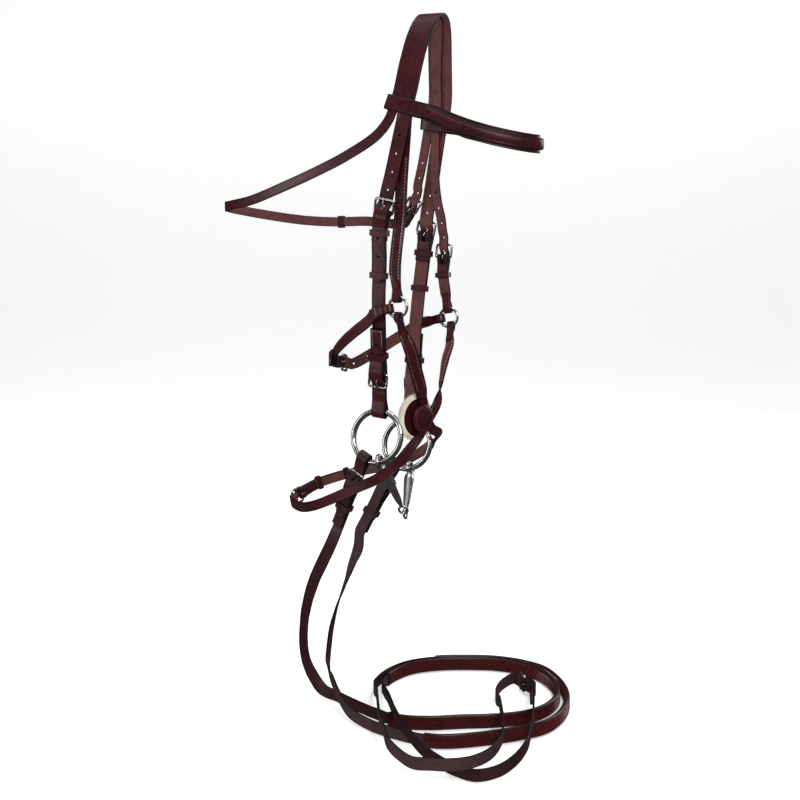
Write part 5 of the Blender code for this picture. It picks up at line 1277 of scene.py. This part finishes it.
def keepers():
    for name, guide, place, half, low, high, length in KEEPERS:
        loop = band(guide.bench(place), -length / 2, length / 2, half, low, high)
        add_part(name, loop, "leather")
    for side, bench in (("off", OFF_LOW), ("near", NEAR_LOW)):
        loop = band(bench, 20, 27.6, CHEEK, -6.7, 6.2)
        add_part(side + "_cheek_lower_keeper", loop, "leather")


def mouthpiece():
    """Two arms, each a swelling bar between a loop on the bit ring and an eye at the joint."""
    off_butt, near_butt = bit_point(OFF_BIT, ARM_AT), bit_point(NEAR_BIT, ARM_AT)
    off_arm, near_arm = unit(BIT_JOINT - off_butt), unit(BIT_JOINT - near_butt)
    normal = unit(np.cross(off_arm, near_arm))
    for side, bit, butt, arm, eye, axis in (
            ("off", OFF_BIT, off_butt, off_arm, BIT_JOINT - off_arm * LINK,
             np.cross(normal, off_arm)),
            ("near", NEAR_BIT, near_butt, near_arm, BIT_JOINT, normal)):
        tangent = unit(bit_point(bit, ARM_AT + 1) - bit_point(bit, ARM_AT - 1))
        length = float(np.linalg.norm(eye - butt))
        start, stop = 7.6, length - 6.0
        # (distance from the butt, radius)
        swell = [(start, 1.6), (8.4, 3.4), (10.0, 4.9), (13.0, 6.1), (18.0, 6.7),
                 (length * 0.48, 5.7), (length - 20, 4.5), (length - 13, 3.5),
                 (length - 8.5, 2.7), (stop, 1.8)]
        places = [start + (stop - start) * i / 60 for i in range(61)]
        radii = [float(np.interp(u, *zip(*swell))) for u in places]
        verts, faces = [], []
        for part_verts, part_faces in (
                tube([butt + arm * u for u in places], radii, 28),
                torus(butt, tangent, 8.3, 2.7, 72, 20),
                torus(eye, axis, 5.75, 1.6, 56, 16)):
            base = len(verts)
            verts += list(part_verts)
            faces += [tuple(i + base for i in f) for f in outward(part_verts, part_faces)]
        node = side + "_mouthpiece_arm"
        ob = solid(node + "_look", verts, faces, sharp=60.0)
        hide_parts(node)
        dress(ob, "steel", node)


# ---------------------------------------------------------------- stitching
FLUSH = HIDE / 2 + 0.02       # thread height on a single layer
PROUD = HIDE / 2 + 0.11       # thread height beside a raised middle
FINE = dict(pitch=3.0, length=2.1, radius=0.34)
BOLD = dict(pitch=3.9, length=2.4, radius=0.46)
# (along in lengths, thickness and lift in radii) of a stitch
BEAD = ((-0.5, 0.45, -0.30), (-0.27, 0.95, 0.12), (0.27, 0.95, 0.12), (0.5, 0.45, -0.30))


class Stitches:
    """Collects the stitches of one piece."""

    def __init__(self):
        self.verts, self.faces = [], []

    def bead(self, point, along, wide, out, length, radius):
        """One stitch: a short plump bead of thread dipping at both ends."""
        base = len(self.verts)
        for place, thick, lift in BEAD:
            centre = point + along * (place * length) + out * (lift * radius)
            for i in range(6):
                angle = math.pi * i / 3
                self.verts.append(centre + wide * (math.cos(angle) * radius * thick)
                                  + out * (math.sin(angle) * radius * thick * 0.9))
        faces = [(j * 6 + i, j * 6 + (i + 1) % 6, j * 6 + 6 + (i + 1) % 6, j * 6 + 6 + i)
                 for j in range(3) for i in range(6)]
        faces += [(5, 4, 3, 2, 1, 0), (18, 19, 20, 21, 22, 23)]
        self.faces += [tuple(i + base for i in f) for f in faces]

    def along(self, guide, start, stop, spread, top, pitch, length, radius, flesh=None):
        """Two rows `spread` either side of the line, also on the flesh face if it has a depth."""
        count = max(1, int(abs(stop - start) / pitch))
        for k in range(count + 1):
            point, wide, out, along = guide.at(start + (stop - start) * k / count)
            for v in (-spread, spread):
                spot = point + wide * v
                self.bead(spot + out * top, along, wide, out, length, radius)
                if flesh:
                    self.bead(spot - out * flesh, along, wide, -out, length, radius)

    def across(self, guide, place, spread, top, pitch, length, radius):
        point, wide, out, along = guide.at(place)
        count = max(1, int(2 * spread / pitch))
        for k in range(count + 1):
            spot = point + wide * (-spread + 2 * spread * k / count)
            self.bead(spot + out * top, wide, -along, out, length, radius)

    def finish(self, name, look, node):
        faces = outward(np.array(self.verts), self.faces)
        add_extra(name, self.verts, faces, look, node, sharp=80.0)


# stitches, node, thread, height, size, start, stop, distance from the middle
SEAMS = (
    ("noseband_headstrap_stitching", "noseband_headstrap", "pale", PROUD, BOLD,
     vec(-15.5, -77.6, -322), vec(-13, -60.5, -176), 4.6),
    ("nose_strap_off_to_near_stitching", "nose_strap_off_to_near", "pale", PROUD, BOLD,
     vec(-9.5, -62, -392), vec(-14, -3.5, -466), 5.0),
    ("nose_strap_near_to_off_stitching", "nose_strap_near_to_off", "pale", PROUD, BOLD,
     vec(-1, 62, -413), vec(-2.5, 36.5, -459), 5.0),
    ("jaw_strap_stitching", "jaw_strap_buckle_side", "brown", FLUSH, FINE,
     vec(-120, -35, -418), vec(-45, -78, -369), 4.5),
    ("noseband_near_cheek_stitching", "noseband_near_cheek", "brown", FLUSH, FINE,
     NOSE_BENCH.at(12, LAYER), NOSE_BENCH.at(46, LAYER), 4.6),
)


def seams():
    for name, node, look, top, size, start, stop, spread in SEAMS:
        guide = GUIDES[node]
        row = Stitches()
        row.along(guide, guide.find(start), guide.find(stop), spread, top, flesh=HIDE / 2,
                  **size)
        row.finish(name, look, node)


def browband_seam():
    guide = GUIDES["browband_raised_facing"]
    start, stop = FACING_ENDS
    row = Stitches()
    row.along(guide, start + 2.4, stop - 2.4, 5.2, FACING_LIFT + 1.86,
              pitch=3.9, length=2.5, radius=0.52)
    for place in (start + 2.2, stop - 2.2):
        row.across(guide, place, 4.2, FACING_LIFT + 1.75, pitch=2.6, length=1.9, radius=0.34)
    row.finish("browband_stitching", "black", "browband_raised_facing")


def chape_seam(name, look, node, start, stop, end, spread, end_spread):
    """Rows from start to stop, closed by a row across at end."""
    guide = GUIDES[node]
    row = Stitches()
    row.along(guide, guide.find(start), guide.find(stop), spread, FLUSH, **FINE)
    row.across(guide, guide.find(end), end_spread, FLUSH, **FINE)
    row.finish(name, look, node)


def chape_seams():
    for side, bench in (("off", OFF_LOW), ("near", NEAR_LOW)):
        node = side + "_lower_chape"
        end = bench.at(58, LAYER)
        chape_seam(node + "_stitching", "pale", node, bench.at(10.5, LAYER), end, end, 6.4, 4.6)
    for side, bench, line in (("off", OFF_TOP, OFF_CHEEK), ("near", NEAR_TOP, NEAR_CHEEK)):
        chape_seam(side + "_cheek_chape_stitching", "brown", side + "_cheekpiece",
                   bench.at(11, LAYER), line.at(26)[0], line.at(27)[0], 6.4, 4.6)
    for side, bench in (("off", OFF_REIN), ("near", NEAR_REIN)):
        node = side + "_rein_chape"
        end = bench.at(64, LAYER)
        chape_seam(node + "_stitching", "brown", node, bench.at(10.5, LAYER), end, end, 5.4, 4)
        verts, faces = band(bench, 33, 41, REIN, -6.3, 6.2)
        soften(add_extra(side + "_rein_fixed_keeper", verts, outward(verts, faces), "rein",
                         side + "_rein", plain(len(verts))))


# ---------------------------------------------------------------- cells on the rubber grips
CELL_PITCH, CELL_ROWS, CELL_SPACING = 4.3, 4, 3.75
CELL = ((2.10, -0.1), (1.78, 0.95), (1.18, 0.95), (0.80, 0.02))     # (radius, height)
CELL_FLOOR = 0.08


def grip_cells_painted_highlight(side):
    """Raised hexagons with a hollow middle, in staggered rows on both faces, their rubber painted
    lighter than the grip's as a painted highlight.
    """
    node = side + "_rein_grip"
    guide = GUIDES[node]
    start, stop = GRIP_ENDS[side]
    top = GRIP / 2
    verts, faces = [], []
    for k in range(int((stop - start - 5) / CELL_PITCH)):
        for j in range(CELL_ROWS):
            place = start + 3 + (k + (0.5 if j % 2 else 0.0)) * CELL_PITCH
            point, wide, out, along = guide.at(place)
            middle = point + wide * ((j - (CELL_ROWS - 1) / 2) * CELL_SPACING)
            for face in (1, -1):
                centre = middle + out * (face * top)
                base = len(verts)
                for radius, height in CELL:
                    for i in range(6):
                        angle = math.pi * (i + 0.5) / 3
                        verts.append(centre + wide * (math.cos(angle) * radius)
                                     + along * (math.sin(angle) * radius)
                                     + out * (face * height))
                verts.append(centre + out * (face * CELL_FLOOR))
                for i in range(18):
                    q = i - i % 6 + (i + 1) % 6
                    wall = (base + i, base + q, base + 6 + q, base + 6 + i)
                    faces.append(wall if face < 0 else wall[::-1])
                for i in range(6):
                    wall = (base + 18 + i, base + 18 + (i + 1) % 6, base + 24)
                    faces.append(wall if face < 0 else wall[::-1])
    add_extra(side + "_grip_cells_painted_highlight", verts, faces, "cells", node, sharp=25.0)


# ---------------------------------------------------------------- rosette pad
# (distance along the rosette axis, radius)
BACKING = [(-9.75, 0), (-9.75, 23.6), (-10.1, 24.4), (-11.9, 24.4), (-12.3, 23.6), (-12.4, 0)]
PAD = [
    (-10.2, 0), (-10.1, 12), (-10.1, 22), (-10.5, 26.2), (-11.6, 28.6), (-13.4, 29.8),
    (-15.4, 29.6), (-17.4, 28.4), (-19.0, 25.6), (-20.1, 21), (-20.8, 14), (-21.0, 7),
    (-21.1, 0),
]
PAD_STEP = 1.1
FIBRES = 2600


def rosette_stitching():
    row = Stitches()
    for k in range(32):
        x, y = math.cos(2 * math.pi * k / 32), math.sin(2 * math.pi * k / 32)
        outwards = x * DISC_X + y * DISC_Y
        row.bead(DISC + outwards * 14.9 + DISC_N * 2.24, unit(-y * DISC_X + x * DISC_Y),
                 outwards, DISC_N, length=2.1, radius=0.33)
    row.finish("rosette_stitching", "brown", "nose_rosette")


def rosette_backing():
    verts, faces = lathe(DISC, DISC_N, BACKING, 96)
    offset = verts - DISC
    radii = np.linalg.norm(offset - np.outer(offset @ DISC_N, DISC_N), axis=1)
    attrs = (np.zeros((len(verts), 2)), np.clip(24.6 - radii, 0, 9), np.zeros(len(verts)))
    add_extra("rosette_backing", verts, outward(verts, faces), "leather", "rosette_pad", attrs)


def tufted(verts):
    """Short uneven tufts over the fleece, from summed waves."""
    offset = verts - DISC
    x, y, z = offset @ DISC_X, offset @ DISC_Y, offset @ DISC_N
    wave = np.sin(x * 1.7 + 2.1 * np.sin(y * 0.9)) * np.sin(
        y * 1.6 + 1.7 * np.sin(z * 1.1 + x * 0.6))
    wave = wave + 0.6 * np.sin(x * 3.1 + y * 2.7 + z * 3.3) * np.sin(y * 3.7 - x * 2.2)
    away = verts - (DISC + DISC_N * -15.5)
    away /= np.maximum(np.linalg.norm(away, axis=1), 1e-6)[:, None]
    return verts + away * (wave * 0.42)[:, None]


def rosette_pad():
    profile = []
    for (a, b), (c, d) in zip(PAD[:-1], PAD[1:]):
        count = max(1, int(math.hypot(c - a, d - b) / PAD_STEP))
        profile += [(a + (c - a) * i / count, b + (d - b) * i / count) for i in range(count)]
    verts, faces = lathe(DISC, DISC_N, profile + [PAD[-1]], 150)
    ob = solid("rosette_pad_look", tufted(verts), outward(verts, faces), sharp=180.0)
    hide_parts("rosette_pad")
    dress(ob, "fleece", "rosette_pad")


def pad_fibres():
    """Short fibres standing out of the fleece round its rim and back."""
    rng = np.random.default_rng(7)
    profile = PAD[3:11]
    verts, faces = [], []
    for _ in range(FIBRES):
        angle = rng.uniform(0, 2 * math.pi)
        place = rng.uniform(0.0, 1.0) * (len(profile) - 1)
        i = min(int(place), len(profile) - 2)
        axial, radius = (profile[i][m] + (profile[i + 1][m] - profile[i][m]) * (place - i)
                         for m in (0, 1))
        outwards = math.cos(angle) * DISC_X + math.sin(angle) * DISC_Y
        root = DISC + outwards * radius + DISC_N * axial
        way = unit(unit(root - (DISC + DISC_N * -15.2)) + 0.55 * rng.normal(size=3))
        length = rng.uniform(1.2, 2.6)
        side = unit(np.cross(way, rng.normal(size=3)))
        other = np.cross(way, side)
        bend = side * rng.uniform(-0.6, 0.6)
        base = len(verts)
        for height, thick in ((-0.3, 0.16), (0.5, 0.12)):
            centre = root + way * (height * length) + bend * height * height
            for m in range(3):
                turn = 2 * math.pi * m / 3
                verts.append(centre + thick * (side * math.cos(turn) + other * math.sin(turn)))
        verts.append(root + way * length + bend)
        for m in range(3):
            n = (m + 1) % 3
            faces.append((base + m, base + n, base + 3 + n, base + 3 + m))
            faces.append((base + 3 + m, base + 3 + n, base + 6))
        faces.append((base + 2, base + 1, base))
    add_extra("rosette_pad_fibres", verts, faces, "fleece", "rosette_pad", sharp=60.0)


# ---------------------------------------------------------------- stage, light and camera
# From here on, lengths are metres.
VIEW_TURN, VIEW_TILT = math.radians(25.0), math.radians(8.0)


def studio_paper():
    """White paper that glows a little, and is dim in reflections."""
    k = Nodes(bpy.data.materials.new("studio_paper"))
    tone = k.noise(k.object_place(), scale=3.0)
    k.surface({
        "Roughness": 0.9,
        "Specular IOR Level": 0.1,
        "Base Color": k.mix(tone, (0.955, 0.955, 0.955), (0.965, 0.965, 0.965)),
        "Emission Color": (1, 1, 1),
        "Emission Strength": 0.42,
    })
    glow = k.add("ShaderNodeEmission", {"Strength": 0.06}).outputs[0]
    glossy = k.add("ShaderNodeLightPath").outputs["Is Glossy Ray"]
    paper = k.tree.nodes["Principled BSDF"].outputs[0]
    pick = k.add("ShaderNodeMixShader", {0: glossy, 1: paper, 2: glow})
    k.fill(k.tree.nodes["Material Output"], {"Surface": pick.outputs[0]})
    return k.owner


def studio_floor():
    """Floor that curves up into a back wall, turned to face the camera."""
    level = (FLOOR + LIFT[2]) * MM - 0.0012
    start, radius = 3.2, 1.2
    profile = [(-6.0, level), (start, level)]
    for angle in map(math.radians, range(10, 91, 10)):
        profile.append((start + radius * math.sin(angle), level + radius * (1 - math.cos(angle))))
    profile.append((start + radius, 4.0))
    verts = [(x, y, z) for y, z in profile for x in (-7.0, 7.0)]
    faces = [(2 * i, 2 * i + 1, 2 * i + 3, 2 * i + 2) for i in range(len(profile) - 1)]
    mesh = bpy.data.meshes.new("studio_floor")
    mesh.from_pydata(verts, [], faces)
    mesh.shade_smooth()
    floor = link(bpy.data.objects.new("studio_floor", mesh))
    floor.rotation_euler = (0, 0, VIEW_TURN)
    mesh.materials.append(studio_paper())


def studio_air():
    """White to the camera; to everything else dark below and grey above."""
    k = Nodes(bpy.data.worlds.new("studio_air"))
    bpy.context.scene.world = k.owner
    sky = k.add("ShaderNodeBackground", {"Color": (1, 1, 1), "Strength": 1.0})
    place = k.add("ShaderNodeTexCoord").outputs["Generated"]
    height = k.add("ShaderNodeSeparateXYZ", {0: place}).outputs["Z"]
    share = k.add("ShaderNodeMapRange", {"From Min": -1.0, "Value": height}).outputs["Result"]
    shade = k.add("ShaderNodeValToRGB", {"Fac": share})
    low, high = shade.color_ramp.elements
    low.position, low.color = 0.30, (0.03, 0.03, 0.035, 1)
    high.position, high.color = 0.95, (0.38, 0.38, 0.40, 1)
    air = k.tree.nodes["Background"]
    k.fill(air, {"Color": shade.outputs["Color"], "Strength": 0.55})
    camera_ray = k.add("ShaderNodeLightPath").outputs["Is Camera Ray"]
    pick = k.add("ShaderNodeMixShader", {0: camera_ray, 1: air.outputs[0], 2: sky.outputs[0]})
    k.fill(k.tree.nodes["World Output"], {"Surface": pick.outputs[0]})


# name, location, target, width, height, watts
SOFTBOXES = (
    ("key_light", (1.5, -1.9, 1.1), (0, 0, -0.45), 0.55, 0.8, 36),
    ("left_light", (-1.9, -1.5, 0.1), (0, 0, -0.6), 0.6, 1.4, 13),
    ("top_light", (0.1, 0.3, 1.9), (0, 0, -0.6), 1.0, 1.0, 16),
    ("back_light", (0.9, 2.1, 0.4), (0, 0, -0.5), 0.8, 1.6, 14),
    ("floor_light", (0.2, -0.6, 2.6), (0, 0.4, -0.9), 3.0, 3.0, 27),
    ("low_strip", (-1.0, -1.8, -0.75), (0, 0, -0.6), 0.14, 0.8, 3),
)


def softboxes():
    for name, location, target, width, height, watts in SOFTBOXES:
        light = bpy.data.lights.new(name, "AREA")
        light.shape = "RECTANGLE"
        light.size = width
        light.size_y = height
        light.energy = watts
        ob = link(bpy.data.objects.new(name, light))
        ob.location = location
        aim = Vector(target) - Vector(location)
        ob.rotation_euler = aim.to_track_quat("-Z", "Y").to_euler()


def photo_view():
    camera = bpy.data.cameras.new("photo_view")
    camera.sensor_width = 36.0
    camera.lens = 62.33
    camera.clip_end = 60.0
    ob = link(bpy.data.objects.new("photo_view", camera))
    back = Vector((math.sin(VIEW_TURN) * math.cos(VIEW_TILT),
                   -math.cos(VIEW_TURN) * math.cos(VIEW_TILT), math.sin(VIEW_TILT)))
    ob.location = (0.70826, -1.61548, -0.22845)
    ob.rotation_euler = (-back).to_track_quat("-Z", "Y").to_euler()
    bpy.context.scene.camera = ob
    bpy.context.scene.view_settings.view_transform = "Standard"


# ---------------------------------------------------------------- build
headpiece()
browband()
cheekpiece("off", OFF_TOP, OFF_CHEEK_LINE, OFF_CHEEK, OFF_LOW, OFF_REACH, OFF_BIT)
cheekpiece("near", NEAR_TOP, NEAR_CHEEK_LINE, NEAR_CHEEK, NEAR_LOW, NEAR_REACH, NEAR_BIT)
noseband_headstrap()
noseband_near_cheek()
jaw_straps()
nose_straps()
reins()
rings()
nose_rosette()
for buckle_name, buckle_bench, strap_half in BUCKLES:
    buckle(buckle_name, buckle_bench, strap_half)
keepers()
mouthpiece()
seams()
browband_seam()
chape_seams()
grip_cells_painted_highlight("off")
grip_cells_painted_highlight("near")
rosette_stitching()
rosette_backing()
rosette_pad()
pad_fibres()
studio_floor()
studio_air()
softboxes()
photo_view()
